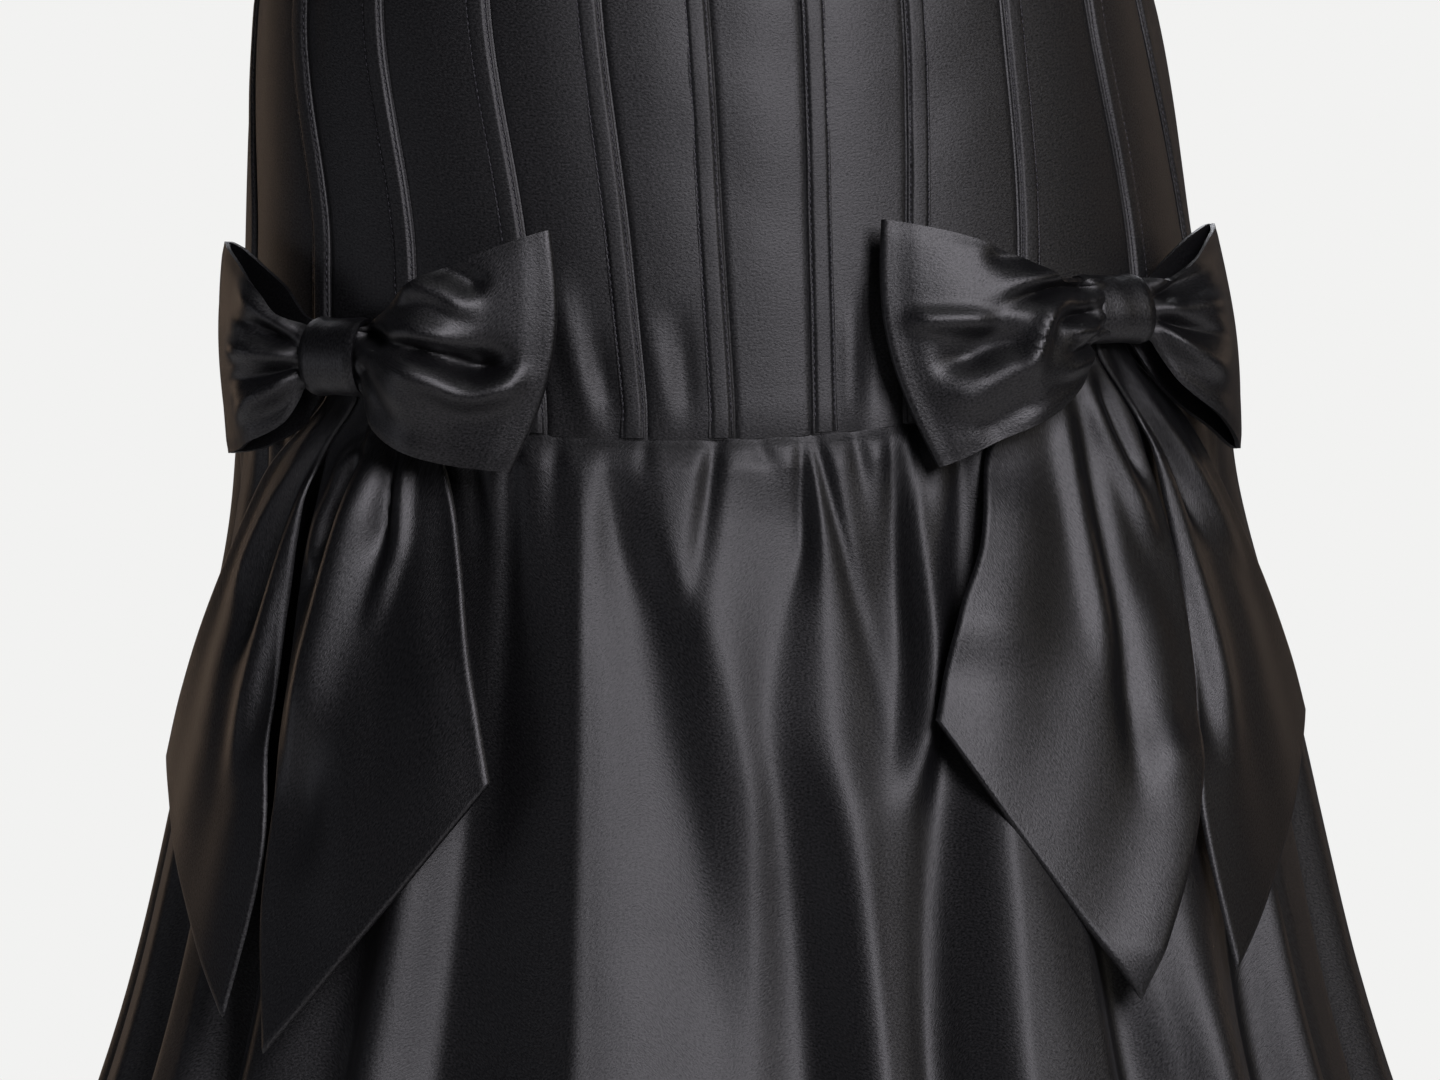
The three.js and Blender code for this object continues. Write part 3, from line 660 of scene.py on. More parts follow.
@dataclass
class Bodice:
    """Boned bodice of 19 panels with a raised channel on each seam."""

    wall: float = 1.2
    surface: float = 1.0
    columns: int = 18
    rows: int = 64
    edge_crowding: float = 0.55
    ditch_depth: float = 0.7
    ditch_width: float = 1.6
    fullness: float = 0.9
    roll_depth: float = 1.0
    roll_width: float = 2.6
    seam_heights: tuple[float, ...] = (200, 0, -66, -152, -200)
    seams: tuple[tuple[float, ...], ...] = (
        (8, 6.2, 5.5, 4.7, 4.2),
        (24, 20, 18.8, 16, 14.5),
        (40, 35.5, 33.5, 30, 27.4),
        (57, 52.5, 50, 47.8, 46),
        (73, 68.5, 66, 64.5, 64),
        (88, 88, 88, 88, 88),
        (109, 109, 109, 109, 109),
        (133, 133, 133, 133, 133),
        (157, 157, 157, 157, 157),
    )
    panel_names: tuple[str, ...] = (
        "back_right", "rear_right_3", "rear_right_2", "rear_right_1", "side_right_2", "side_right_1",
        "front_right_3", "front_right_2", "front_right_1", "centre_front", "front_left_1",
        "front_left_2", "front_left_3", "side_left_1", "side_left_2", "rear_left_1", "rear_left_2",
        "rear_left_3", "back_left",
    )
    centre: int = 9
    bust_lift: float = 26.0
    bust_height: float = 150.0
    bust_tall: float = 48.0
    bust_angle: float = 38.0
    bust_wide: float = 22.0
    channel_wall: float = 0.8
    channel_columns: int = 26
    channel_rows: int = 84
    channel_from: float = 0.5
    channel_width: float = 8.5
    channel_base: float = 0.9
    channel_step: float = 1.0
    channel_shoulder: float = 0.55
    channel_crown: float = 0.35
    channel_end: float = 0.8
    channel_end_fade: float = 2.5
    channel_end_share: float = 0.4
    # Rows of stitches, across the channel, and the groove that each one pulls into it
    stitch_rows: tuple[float, float] = (1.0, 7.5)
    groove_depth: float = 0.7
    groove_width: float = 0.6
    pucker_height: float = 0.14
    pucker_share: float = 0.4
    short_pucker: float = 5.3
    long_pucker: float = 17.0
    # Each channel's puckers start elsewhere, by these millimetres a channel and a side
    channel_shift: int = 37
    side_shift: int = 90
    # The pulls end at this angle, under the bows
    pulls_within: float = 75.0
    pull_creases: tuple[Crease, ...] = (
        Crease(((-68, -156), (-63, -182), (-57, -207)), 2.2, 4.2),
        Crease(((-58, -176), (-53.5, -196), (-49, -208)), -2.0, 3.4),
        Crease(((-63, -206), (-56, -202), (-50, -197)), 1.2, 2.2),
        Crease(((-40, -168), (-36, -191), (-33.5, -208)), 1.2, 4.0),
        Crease(((-30, -168), (-28, -191), (-28, -207)), -1.3, 3.4),
        Crease(((28, -164), (26, -191), (25.5, -209)), 1.2, 3.0),
        Crease(((34, -156), (34.5, -185), (33, -208)), -1.8, 3.8),
        Crease(((-30, -60), (2, -84), (30, -100)), -0.45, 12.0),
        Crease(((-44, -108), (-10, -128), (26, -140)), -0.4, 13.0),
        Crease(((60, -20), (30, -44), (4, -56)), -0.5, 12.0),
        Crease(((-90, -10), (-60, -30), (-34, -40)), -0.6, 11.0),
        Crease(((80, -70), (60, -96), (44, -120)), -0.5, 11.0),
    )

    def seam_angle(self, index: int, z: Array) -> Array:
        """Angle of the seam at a panel's right-hand edge, with the slew that the raised hip gives it."""
        z = np.asarray(z, float)
        if index == 0:
            return np.full(z.shape, -180.0)
        if index == len(self.panel_names):
            return np.full(z.shape, 180.0)
        side = Side.RIGHT if index <= self.centre else Side.LEFT
        number = self.centre - index if side is Side.RIGHT else index - self.centre - 1
        angle = Curve(self.seam_heights, self.seams[number])(np.clip(z, -200, 200))
        s = np.sin(angle * RAD)
        return side * angle + FIGURE.curves["slew"](z) * s * s

    def height(self, angle: Array, share: Array) -> Array:
        """Height on the bodice, 0 at the waist seam and 1 at the neckline."""
        return mix(waist_seam(angle) - SEAM_LAP / 2, NECKLINE(np.abs(angle)), share)

    def cups(self, angle: Array, z: Array) -> Array:
        """Extra lift of the two cups."""
        tall = bell((z - self.bust_height) / self.bust_tall)
        return self.bust_lift * tall * bell((np.abs(angle) - self.bust_angle) / self.bust_wide)

    def cloth(self, angle: Array, z: Array) -> Array:
        """Lift of the satin at a place: cups and the pulls near the waist seam."""
        x = angle * FIGURE.mm_per_degree(angle, z)
        return self.cups(angle, z) + creased(self.pull_creases, x, z) * (np.abs(angle) < self.pulls_within)

    def panel_place(self, index: int) -> Rule:
        """Rule that lays out one panel between its seams."""

        def place(u: Array, v: Array) -> Array:
            """The rule."""
            z = self.height(mix(self.seam_angle(index, v * 0), self.seam_angle(index + 1, v * 0), u), v)
            for _ in range(SETTLING_PASSES):
                start, end = self.seam_angle(index, z), self.seam_angle(index + 1, z)
                lap_start = SEAM_LAP / 2 / FIGURE.mm_per_degree(start, z)
                lap_end = SEAM_LAP / 2 / FIGURE.mm_per_degree(end, z)
                edge = 0.5 - 0.5 * np.cos(np.pi * u)
                angle = mix(start - lap_start, end + lap_end, mix(u, edge, self.edge_crowding))
                z = self.height(angle, v)
            wide = FIGURE.mm_per_degree((start + end) / 2, z) * (end - start)
            from_edge = np.minimum(u, 1 - u) * wide
            ditch = -self.ditch_depth * bell(from_edge / self.ditch_width)
            full = self.fullness * np.sin(np.pi * u) ** 2 * np.sin(np.pi * v)
            roll = -self.roll_depth * bell((z - waist_seam(angle)) / self.roll_width)
            return FIGURE.point(angle, z, self.surface + self.cloth(angle, z) + ditch + full + roll)

        return place

    def channel_place(self, number: int, side: Side) -> Rule:
        """Rule that lays one bone channel beside its seam, crowned over the bone inside."""
        index = self.centre + number if side is Side.LEFT else self.centre + 1 - number

        def place(u: Array, v: Array) -> Array:
            """The rule."""
            guess = self.seam_angle(index, v * 0)
            length = self.height(guess, v * 0 + 1) - self.height(guess, v * 0)
            share = mix(self.channel_end / length, 1 - self.channel_end / length, v)
            across = u if side is Side.LEFT else 1 - u
            offset = self.channel_from + self.channel_width * across
            z = self.height(guess, share)
            for _ in range(SETTLING_PASSES):
                seam = self.seam_angle(index, z)
                angle = seam + side * offset / FIGURE.mm_per_degree(seam, z)
                z = self.height(angle, share)
            from_edge = np.minimum(across, 1 - across) * self.channel_width
            to_rows = (across * self.channel_width - row for row in self.stitch_rows)
            grooves = sum(bell(away / self.groove_width) for away in to_rows)
            crown = 1 - (2 * across - 1) ** 2
            along = z + self.channel_shift * number + self.side_shift * side
            wave = np.sin(along / self.short_pucker) * np.sin(along / self.long_pucker + number)
            pucker = self.pucker_height * wave * (self.pucker_share + grooves)
            end = ease(np.minimum(v, 1 - v) * length / self.channel_end_fade)
            raised = self.channel_step * ease(from_edge / self.channel_shoulder)
            full = (raised + self.channel_crown * crown) * mix(self.channel_end_share, 1, end)
            lift = self.channel_base + full - self.groove_depth * grooves + pucker
            return FIGURE.point(angle, z, self.cloth(angle, z) + lift)

        return place

    def build(self, satin: Material, channel: Material) -> None:
        """Builds and dresses the panels and the channels.

        Args:
            satin: finish of the panels.
            channel: finish of the bone channels.
        """
        for index, name in enumerate(self.panel_names):
            cloth = Cloth(f"satin_{name}", self.columns, self.rows, self.wall, (f"bodice_{name}",))
            cloth.make(self.panel_place(index), satin, Held.STRETCHED)
            LOG.info("bodice panel %s", name)
        for side in Side:
            for number in range(1, len(self.seams) + 1):
                label = f"{side.word}_{number}"
                cloth = Cloth(
                    f"channel_{label}", self.channel_columns, self.channel_rows, self.channel_wall,
                    (f"bone_{label}",),
                )
                cloth.make(self.channel_place(number, side), channel, Held.STRETCHED)
        LOG.info("bone channels")


# Least width in metres, and least share of its oblong, that the frame takes for a flat cut
NARROWEST_CUT = 0.0105
LEAST_FILL = 0.301


def declare(cloth: Cloth, held: Held) -> None:
    """Works out the size of a piece's flat cut as a sheet, which nothing then keeps.

    Args:
        cloth: its measured sizes.
        held: how it is held; not used.
    """
    width, length = max(round(cloth.width, 4), NARROWEST_CUT), round(cloth.length, 3)
    area = max(min(cloth.area, width * length), LEAST_FILL * width * length)


@dataclass(frozen=True)
class FoldLine:
    """A crest or trough of the skirt: its angle and lift at the skirt's heights."""

    angles: tuple[float, ...]
    lifts: tuple[float, ...]


@dataclass(frozen=True)
class Gather:
    """A small gather that starts at the waist seam."""

    angle: float
    depth: float
    length: float
    width: float
    lean: float = 0.0


@dataclass(frozen=True)
class Trough:
    """A trough of the skirt's sides or back: angles at three heights, width in degrees, and depths."""

    seam: float
    thigh: float
    hem: float
    width: float
    start: float
    depth: float
    end: float


@dataclass(frozen=True)
class SkirtPanel:
    """One panel of the skirt, between two angles, with the columns and rows of its grid."""

    name: str
    start: float
    end: float
    columns: int
    rows: int = 90


@dataclass
class Skirt:
    """Gathered floor-length skirt in five panels, hung from the dropped seam."""

    wall: float = 1.2
    surface: float = 1.2
    # Heights of the table of front folds; the last is the hem
    heights: tuple[float, ...] = (-212, -240, -270, -300, -335, -370, -420, -1080)
    front: tuple[FoldLine, ...] = (
        FoldLine((-43, -42.5, -42, -42, -42, -42, -42, -44), (0, -1, -3, -6, -9, -11, -14, -38)),
        FoldLine((-41, -39.8, -38.4, -37.4, -37, -37, -37.5, -38), (0, 0, 0, 0, 0, 0, 0, 0)),
        FoldLine(
            (-39.6, -37.2, -34.8, -32.6, -31.4, -31.2, -31, -31),
            (0, -5, -8, -10, -11.5, -12.5, -14, -40),
        ),
        FoldLine(
            (-22.4, -22.3, -22, -21.5, -20.8, -20.2, -19.4, -23),
            (0, 0.4, -0.6, -1.4, -1.6, -1.7, -1.8, -4),
        ),
        FoldLine((-21.2, -21, -20.6, -20, -19.3, -18.7, -17.9, -21), (0, 1, 0.6, 0, 0, 0, 0, 0)),
        FoldLine(
            (-20.2, -20, -19.4, -18.6, -17.8, -17.1, -16.3, -19),
            (0, 0.2, -0.6, -1, -1.1, -1.2, -1.2, -3),
        ),
        FoldLine(
            (-18.4, -17.1, -14, -11.8, -8.7, -6.4, -5.2, -13),
            (0, -4, -6.5, -7.5, -10.2, -11, -11.5, -33),
        ),
        FoldLine((-12, -11.3, -7.4, -4.9, -3.1, -3, -2.6, -6), (0, 0.5, -0.6, -3.2, -6.8, -10.6, -13, 0)),
        FoldLine((2.6, 2.8, 0.4, -1, 0.2, 1.2, 1.8, 2), (0, -5.5, -6.3, -6.6, -10.2, -15, -18, -34)),
        FoldLine((4.4, 4.7, 4.8, 4.8, 6.8, 8, 8.8, 9), (0, 0, -2.5, -2, 0, -1.5, -2.5, 0)),
        FoldLine((14.2, 13, 12.6, 11.6, 9.8, 9.6, 9.8, 11), (0, -5, -9, -8, -2.6, -3.2, -3.4, 0)),
        FoldLine((17.4, 16, 16.2, 15.2, 12, 11.2, 10.8, 12.5), (0, 0.5, 0, -1, -4.4, -5.2, -4.8, 0)),
        FoldLine((21.5, 20.6, 19.6, 17.4, 15.2, 13.6, 12.8, 16), (0, -3, -6, -8, -8.4, -8.6, -9, -36)),
        FoldLine((28, 26.5, 25, 23.7, 21.8, 21.3, 20.5, 23), (0, 0, 0, 1, 6, 10, 13, 0)),
        FoldLine((33.5, 31.5, 30, 28.2, 26.8, 27.6, 27.2, 28), (0, -2, -4, -5, 1, 6, 11, -40)),
        FoldLine((37, 35.5, 33.6, 31.8, 30.2, 31.6, 32.5, 34), (0, 0, 0, 0, -2, -8, -12, 0)),
        FoldLine((41, 40, 38.5, 36.8, 35, 36, 36.8, 41), (0, -2, -5, -8, -9, -4, -1, -38)),
        FoldLine((48, 47, 45.5, 44.4, 42.4, 40.8, 40.4, 48), (0, 0, 0, 0, 0, 3, 9, 0)),
    )
    round_back: tuple[Trough, ...] = (
        Trough(56, 51, 55, 4.4, 3, 17, 42), Trough(71, 68, 70, 4.6, 4, 15, 37),
        Trough(86, 84, 85, 4.8, 3, 19, 44), Trough(101, 100, 99, 4.4, 4, 15, 36),
        Trough(116, 115, 115, 4.8, 3, 19, 43), Trough(131, 130, 131, 4.4, 4, 16, 38),
        Trough(146, 147, 146, 5, 3, 20, 45), Trough(162, 163, 163, 4.5, 4, 17, 39),
        Trough(179, 180, 180, 5.2, 4, 21, 46), Trough(196, 197, 196, 4.4, 3, 16, 38),
        Trough(212, 212, 213, 5, 4, 20, 44), Trough(227, 228, 227, 4.4, 3, 15, 37),
        Trough(242, 243, 243, 4.8, 4, 19, 43), Trough(257, 258, 258, 4.6, 3, 16, 37),
        Trough(272, 273, 273, 4.8, 4, 18, 42), Trough(287, 288, 287, 4.4, 3, 15, 38),
        Trough(302, 303, 301, 4.6, 3, 17, 42),
    )
    back_heights: tuple[float, ...] = (-210, -235, -420, -1080)
    # Places across such a trough, in widths, and the share of its depth there
    trough_profile: tuple[tuple[float, float], ...] = ((-1.25, 0.2), (0.0, 1.0), (1.25, 0.2))
    lines_sorted_at: float = -300.0
    closest_lines: float = 0.15
    panels: tuple[SkirtPanel, ...] = (
        SkirtPanel("back_right", -180, -117.5, 104), SkirtPanel("side_right", -117.5, -57.5, 100),
        SkirtPanel("front", -57.5, 57.5, 300, 150), SkirtPanel("side_left", 57.5, 117.5, 100),
        SkirtPanel("back_left", 117.5, 180, 104),
    )
    # Rows lie closer together below the seam: share of the rows, and share of the height there
    row_places: tuple[float, ...] = (0, 0.36, 0.6, 1)
    row_heights: tuple[float, ...] = (0, 0.085, 0.25, 1)
    roll_depth: float = 1.3
    roll_width: float = 2.2
    side_ditch: float = 0.9
    side_ditch_width: float = 2.4
    # Gathers read at the front; the others are worked out with the same spread of sizes
    front_gathers: tuple[Gather, ...] = (
        Gather(-24.5, 1.6, 34, 3.2, 0.6),
        Gather(-14.2, 1.6, 10, 2.2),
        Gather(-6.4, 3.2, 46, 3.0, -2.2),
        Gather(-1.9, 2.2, 9, 2.8, 1.2),
        Gather(3.2, 2.6, 34, 2.6, 0.2),
        Gather(4.6, 3.0, 62, 2.4, 4.0),
        Gather(9.1, 2.6, 22, 2.8, 0.8),
        Gather(13.5, 2.6, 40, 3.0, -0.4),
        Gather(16.4, 2.4, 30, 3.0, 0.4),
        Gather(21.6, 2.4, 44, 3.4, -0.8),
        Gather(26.4, 2.0, 30, 3.2, -0.6),
    )
    gather_front: tuple[float, float] = (-27.5, 29.0)
    gather_margin: float = 2.0
    gather_lengths: tuple[float, float] = (16, 44)
    long_gathers: float = 0.35
    long_gather_more: tuple[float, float] = (30, 90)
    gather_depths: tuple[float, float] = (1.4, 3.2)
    gather_widths: tuple[float, float] = (2.6, 3.8)
    gather_leans: tuple[float, float] = (-1.8, 1.8)
    gather_steps: tuple[float, float] = (3.9, 6.1)
    # Gathers start at a share of their depth at the seam and are full at a drop below it
    gather_start: float = 0.3
    gather_rise: float = 16.0
    gather_widening: float = 0.5
    lean_until: float = 1.6
    puff: float = 2.6
    puff_drop: float = 11.0
    puff_fade: float = 34.0
    seed: int = 11
    gathers: list[Gather] = field(default_factory=list)

    def __post_init__(self) -> None:
        """Works out the fold lines round the whole skirt and the gathers of the sides and back."""
        lines: list[tuple[Curve, Curve]] = []
        for line in self.front:
            lines.append((Curve(self.heights, line.angles), Curve(self.heights, line.lifts)))
        for trough in self.round_back:
            places = (trough.seam, trough.seam, trough.thigh, trough.hem)
            middle = [a - 360 if trough.seam > 180 else a for a in places]
            depths = (0, trough.start, trough.depth, trough.end)
            for offset, share in self.trough_profile:
                angles = Curve(self.back_heights, [a + offset * trough.width for a in middle])
                lines.append((angles, Curve(self.back_heights, [-depth * share for depth in depths])))
        self.lines = sorted(lines, key=lambda line: float(line[0](self.lines_sorted_at)))
        rng = np.random.default_rng(self.seed)
        angle = self.gather_front[1] + self.gather_margin
        self.gathers = list(self.front_gathers)
        while angle < self.gather_front[0] + 360 - self.gather_margin:
            length = rng.uniform(*self.gather_lengths)
            length += (rng.random() < self.long_gathers) * rng.uniform(*self.long_gather_more)
            depth, width = rng.uniform(*self.gather_depths), rng.uniform(*self.gather_widths)
            lean = rng.uniform(*self.gather_leans)
            self.gathers.append(Gather((angle + 180) % 360 - 180, depth, length, width, lean))
            angle += float(rng.uniform(*self.gather_steps))

    def folds(self, angle: Array, z: Array) -> Array:
        """Lift of the large folds, drawn as a smooth line through the crests and troughs round the body.

        Args:
            angle: degrees round the body, -180 to 180.
            z: heights in millimetres.
        Returns:
            Lift in millimetres.
        """
        places = np.stack([line[0](z) for line in self.lines])
        lifts = np.stack([line[1](z) for line in self.lines])
        places = np.concatenate([places[-2:] - 360, places, places[:2] + 360])
        lifts = np.concatenate([lifts[-2:], lifts, lifts[:2]])
        for k in range(1, len(places)):
            places[k] = np.maximum(places[k], places[k - 1] + self.closest_lines)
        steps = np.diff(places, axis=0)
        tangents = np.zeros_like(lifts)
        tangents[1:-1] = smooth_slopes(np.diff(lifts, axis=0) / steps)
        k = np.clip((places <= angle).sum(axis=0) - 1, 0, len(places) - 2)[None]

        def at(table: Array, further: int = 0) -> Array:
            """Value of a table at the line before each place, or further on."""
            return np.take_along_axis(table, k + further, 0)[0]

        s = np.clip((angle - at(places)) / at(steps), 0, 1)
        return cross_step(s, at(steps), (at(lifts), at(lifts, 1)), (at(tangents), at(tangents, 1)))

    def gathered(self, angle: Array, z: Array, drop: Array) -> Array:
        """Lift of the gathers below the seam: soft troughs that fade, each at its own length."""
        scale = FIGURE.mm_per_degree(angle, z)
        total = np.zeros(angle.shape)
        rise = ease(self.gather_start + drop / self.gather_rise)
        for gather in self.gathers:
            share = drop / gather.length
            centre = gather.angle + gather.lean * np.clip(share, 0, self.lean_until)
            away = ((angle - centre + 180) % 360 - 180) * scale
            spread = gather.width * (1 + self.gather_widening * share)
            total -= gather.depth * rise * bell(share) * bell(away / spread)
        below = np.maximum(drop - self.puff_drop, 0)
        return total + self.puff * ease(drop / self.puff_drop) * bell(below / self.puff_fade)

    def place(self, start: float, end: float) -> Rule:
        """Rule that lays out one panel.

        Args:
            start, end: angles of the panel's edges.
        Returns:
            The rule.
        """
        shares = Curve(self.row_places, self.row_heights)

        def lay(u: Array, v: Array) -> Array:
            """The rule."""
            angle = mix(start, end, u)
            seam = waist_seam(angle) + SEAM_LAP / 2
            z = mix(seam, HEM_HEIGHT, shares(1 - v))
            drop = seam - z
            lap = SEAM_LAP / 2 / FIGURE.mm_per_degree(angle, z)
            lift = self.surface + self.folds(angle, z) + self.gathered(angle, z, drop)
            lift = lift - self.roll_depth * bell(drop / self.roll_width)
            wide = FIGURE.mm_per_degree(angle, z) * (end - start)
            from_edge = np.minimum(u, 1 - u) * wide
            lift = lift - self.side_ditch * bell(from_edge / self.side_ditch_width)
            lapped = np.where(u > 1 - AT_EDGE, lap, 0) - np.where(u < AT_EDGE, lap, 0)
            return FIGURE.point(angle + lapped, z, lift)

        return lay

    def build(self, satin: Material) -> None:
        """Builds and dresses the five panels."""
        for panel in self.panels:
            cloth = Cloth(
                f"skirt_satin_{panel.name}", panel.columns, panel.rows, self.wall, (f"skirt_{panel.name}",),
            )
            rule = self.place(panel.start, panel.end)
            cloth.make(rule, satin, Held.GATHERED)
            LOG.info("skirt panel %s", panel.name)


@dataclass(frozen=True)
class LoopRow:
    """One section of a bow's loop, from the root in the knot to the fold at its end."""

    top_out: float
    top: float
    low_out: float
    low: float
    front: float
    back: float


@dataclass(frozen=True)
class TailRow:
    """One section of a bow's tail, from the root behind the knot to the slanted end."""

    near_out: float
    near: float
    far_out: float
    far: float
    fold: float


def columns_of(rows: Sequence[object]) -> dict[str, Curve]:
    """Smooth curves through the sections of a loop or a tail, one for each size."""
    shares = np.linspace(0, 1, len(rows))
    names = rows[0].__dataclass_fields__
    return {name: Curve(shares, [getattr(row, name) for row in rows]) for name in names}


# Distance of a tail from the figure where it lies on the gown, by height
REST = Curve([-1080, -420, -230, -195, -165, -100], [8, 7, 6.4, 4.6, 4.1, 4.1])

OUTER_TAIL = (
    TailRow(-0.6, -3, -9.2, -3, 0),
    TailRow(-0.6, 13, -15, 14, 0.3),
    TailRow(-16.5, 42, -42, 40, 2),
    TailRow(-17, 80, -55, 68, 4),
    TailRow(-13.5, 120, -62, 92, 5),
    TailRow(-5, 168, -67, 115, 4),
    TailRow(-8, 218, -71, 137, 1.5),
)

# Pleats of a loop that faces away from the front, spread from the knot
OUTER_LOOP_CREASES = (
    Crease(((12, 6), (24, 15), (44, 25)), 3.0, 3.2, rooted=True),
    Crease(((12, 3), (26, 9), (46, 15)), -3.0, 2.6, rooted=True),
    Crease(((12, 0), (28, 2), (50, 3)), 3.0, 3.4, rooted=True),
    Crease(((12, -4), (26, -7), (46, -11)), -3.0, 2.6, rooted=True),
    Crease(((12, -7), (24, -15), (42, -25)), 3.0, 3.4, rooted=True),
)


@dataclass
class Bow:
    """Flat sash bow on one hip: a knot band, two loops and two hanging tails."""

    side: Side
    angle: float
    z: float
    outer_scale: float
    loop_rows: tuple[LoopRow, ...]
    inner_tail: tuple[TailRow, ...]
    loop_creases: tuple[Crease, ...]
    tail_creases: tuple[Crease, ...]
    outer_creases: tuple[Crease, ...]
    knot_turn: float = 0.0
    mm_per_degree: float = 2.65
    wall: float = 1.5
    # Columns and rows
    knot_grid: tuple[int, int] = (64, 20)
    loop_grid: tuple[int, int] = (132, 52)
    tail_grid: tuple[int, int] = (60, 110)
    knot_width: float = 20.0
    knot_half_height: float = 12.0
    knot_half_depth: float = 9.0
    knot_lift: float = 14.6
    knot_waist: float = 0.06
    knot_edge: float = 0.8
    knot_edge_width: float = 2.2
    knot_ribs: int = 4
    knot_rib_height: float = 0.12
    knot_rib_wander: float = 0.8
    # Shares of a loop's length from its root to its fold, unless they are in millimetres
    fold_radius: float = 1.75
    loop_bend: float = 0.07
    loop_close: float = 0.94
    end_bow: float = 6.5
    mouth_hollow: float = 0.62
    inner_gap: float = 4.0
    opened_at: float = 0.25
    scaled_from: float = 0.2
    scaled_at: float = 0.6
    pleats: int = 3
    pleat_depth: float = 0.6
    pleats_until: float = 0.8
    creased_from: float = 0.2
    crease_end_fade: float = 0.6
    hem_share: float = 1 / 24
    hem_dip: float = 0.5
    tail_folds: float = 2.5
    tail_wave: float = 0.22
    tail_swell: float = 0.4
    tail_row_crowding: float = 0.85
    tail_column_crowding: float = 0.8
    # Where a tail's solid wall lies about its drawn surface
    tail_outward: float = -0.3
    edge_radius: float = 1.3

    @property
    def inward(self) -> int:
        """Sign of the angles that lead in to the centre front."""
        return -self.side

    def point(self, out: Array, up: Array, lift: Array) -> Array:
        """A place on the body at a distance from the knot and a height above it."""
        return FIGURE.point(self.angle + self.inward * out / self.mm_per_degree, self.z + up, lift)

    def knot_place(self, u: Array, v: Array) -> Array:
        """Lays the knot's band round the roots of the loops, with soft gathers along it."""
        turn = -u * 2 * np.pi
        out = mix(-self.knot_width / 2, self.knot_width / 2, v)
        waist = 1 - self.knot_waist * np.sin(v * np.pi)
        edge = ease(np.minimum(v, 1 - v) * self.knot_width / self.knot_edge_width)
        phase = v * np.pi * self.knot_ribs + self.knot_rib_wander * np.sin(turn)
        ribs = self.knot_rib_height * np.sin(phase) * np.sin(v * np.pi) + self.knot_edge * (edge - 1)
        up = np.cos(turn) * (self.knot_half_height * waist + ribs)
        lift = self.knot_lift + np.sin(turn) * (self.knot_half_depth + ribs) - self.knot_turn * out
        return self.point(out, up, lift)

    def loop_place(self, facing: Facing, scale: float) -> Rule:
        """Rule that lays a loop out of the knot, round its fold and back behind itself.

        Args:
            facing: the way that the loop goes.
            scale: size of the loop beyond its root.
        Returns:
            The rule.
        """
        at = columns_of(self.loop_rows)

        def place(u: Array, v: Array) -> Array:
            """The rule."""
            bend = self.loop_bend
            ahead = np.clip((0.5 - u) / bend, -1, 1)
            s = np.minimum(1, (1 - np.abs(2 * u - 1)) / (1 - bend))
            turn = np.sin(ahead * np.pi / 2)
            is_front = turn > 0
            hollow = mix(self.mouth_hollow, 1, np.sin(np.pi * v))
            pleat = np.sin(np.pi * np.minimum(1, s / self.pleats_until)) * self.pleat_depth
            wave = pleat * np.cos(2 * np.pi * self.pleats * v)
            middle = (float(at["front"](1)) + float(at["back"](1))) / 2
            layer = np.where(is_front, at["front"](s), at["back"](s))
            fold = middle + self.fold_radius * turn
            opened = (1 - s) * layer + s * fold
            scaled = (s - self.scaled_from) / (self.scaled_at - self.scaled_from)
            size = mix(1, scale, np.clip(scaled, 0, 1))
            last = np.maximum(0, (s - self.loop_close) / (1 - self.loop_close))
            bulge = self.fold_radius * np.cos(ahead * np.pi / 2) * last
            bulge = bulge + self.end_bow * np.sin(np.pi * v) * s ** 3
            out = mix(at["low_out"](s), at["top_out"](s), v) * size + bulge
            up = mix(at["low"](s), at["top"](s), v) * size
            puffed = mix(at["back"](s) + self.inner_gap, np.maximum(opened, layer), hollow)
            lines = self.loop_creases if facing is Facing.INNER else OUTER_LOOP_CREASES
            fade = ease(s / self.creased_from) * (1 - self.crease_end_fade * last)
            creases = creased(lines, out, up) * fade
            front = mix(layer, puffed, np.minimum(1, s / self.opened_at)) + wave + creases
            lift = mix(np.where(is_front, front, layer), fold, last)
            hem = self.hem_dip * bell(np.minimum(v, 1 - v) / self.hem_share)
            return self.point(facing * out, up, lift - hem * is_front)

        return place

    def tail_place(self, rows: Sequence[TailRow], creases: Sequence[Crease]) -> Rule:
        """Rule that hangs a tail over the skirt from behind the knot.

        Args:
            rows: the tail's sections.
            creases: its creases, at distances out and up from the knot.
        Returns:
            The rule.
        """
        at = columns_of(rows)

        def place(u: Array, v: Array) -> Array:
            """The rule."""
            # Rows and columns lie closer together towards the edges, which turn down to their thickness
            s = mix(1 - v, np.sin((1 - v) * np.pi / 2), self.tail_row_crowding)
            share = mix(u, 0.5 - 0.5 * np.cos(np.pi * u), self.tail_column_crowding)
            share = share if self.inward < 0 else 1 - share
            out = mix(at["near_out"](s), at["far_out"](s), share)
            drop = mix(at["near"](s), at["far"](s), share)
            wave = 0.5 - 0.5 * np.cos(2 * np.pi * self.tail_folds * share)
            swell = at["fold"](s) * (self.tail_wave * wave + self.tail_swell)
            lift = REST(self.z - drop) + self.wall / 2 + swell
            lift = lift + creased(creases, out, -drop) * ease(s / self.creased_from)
            wide = np.abs(at["near_out"](s) - at["far_out"](s))
            from_edge = np.minimum(np.minimum(share, 1 - share) * wide, (1 - s) * float(rows[-1].far))
            inside = np.maximum(0, self.edge_radius - from_edge)
            rounded = self.edge_radius - np.sqrt(self.edge_radius**2 - inside**2)
            return self.point(out, -drop, lift - rounded)

        return place

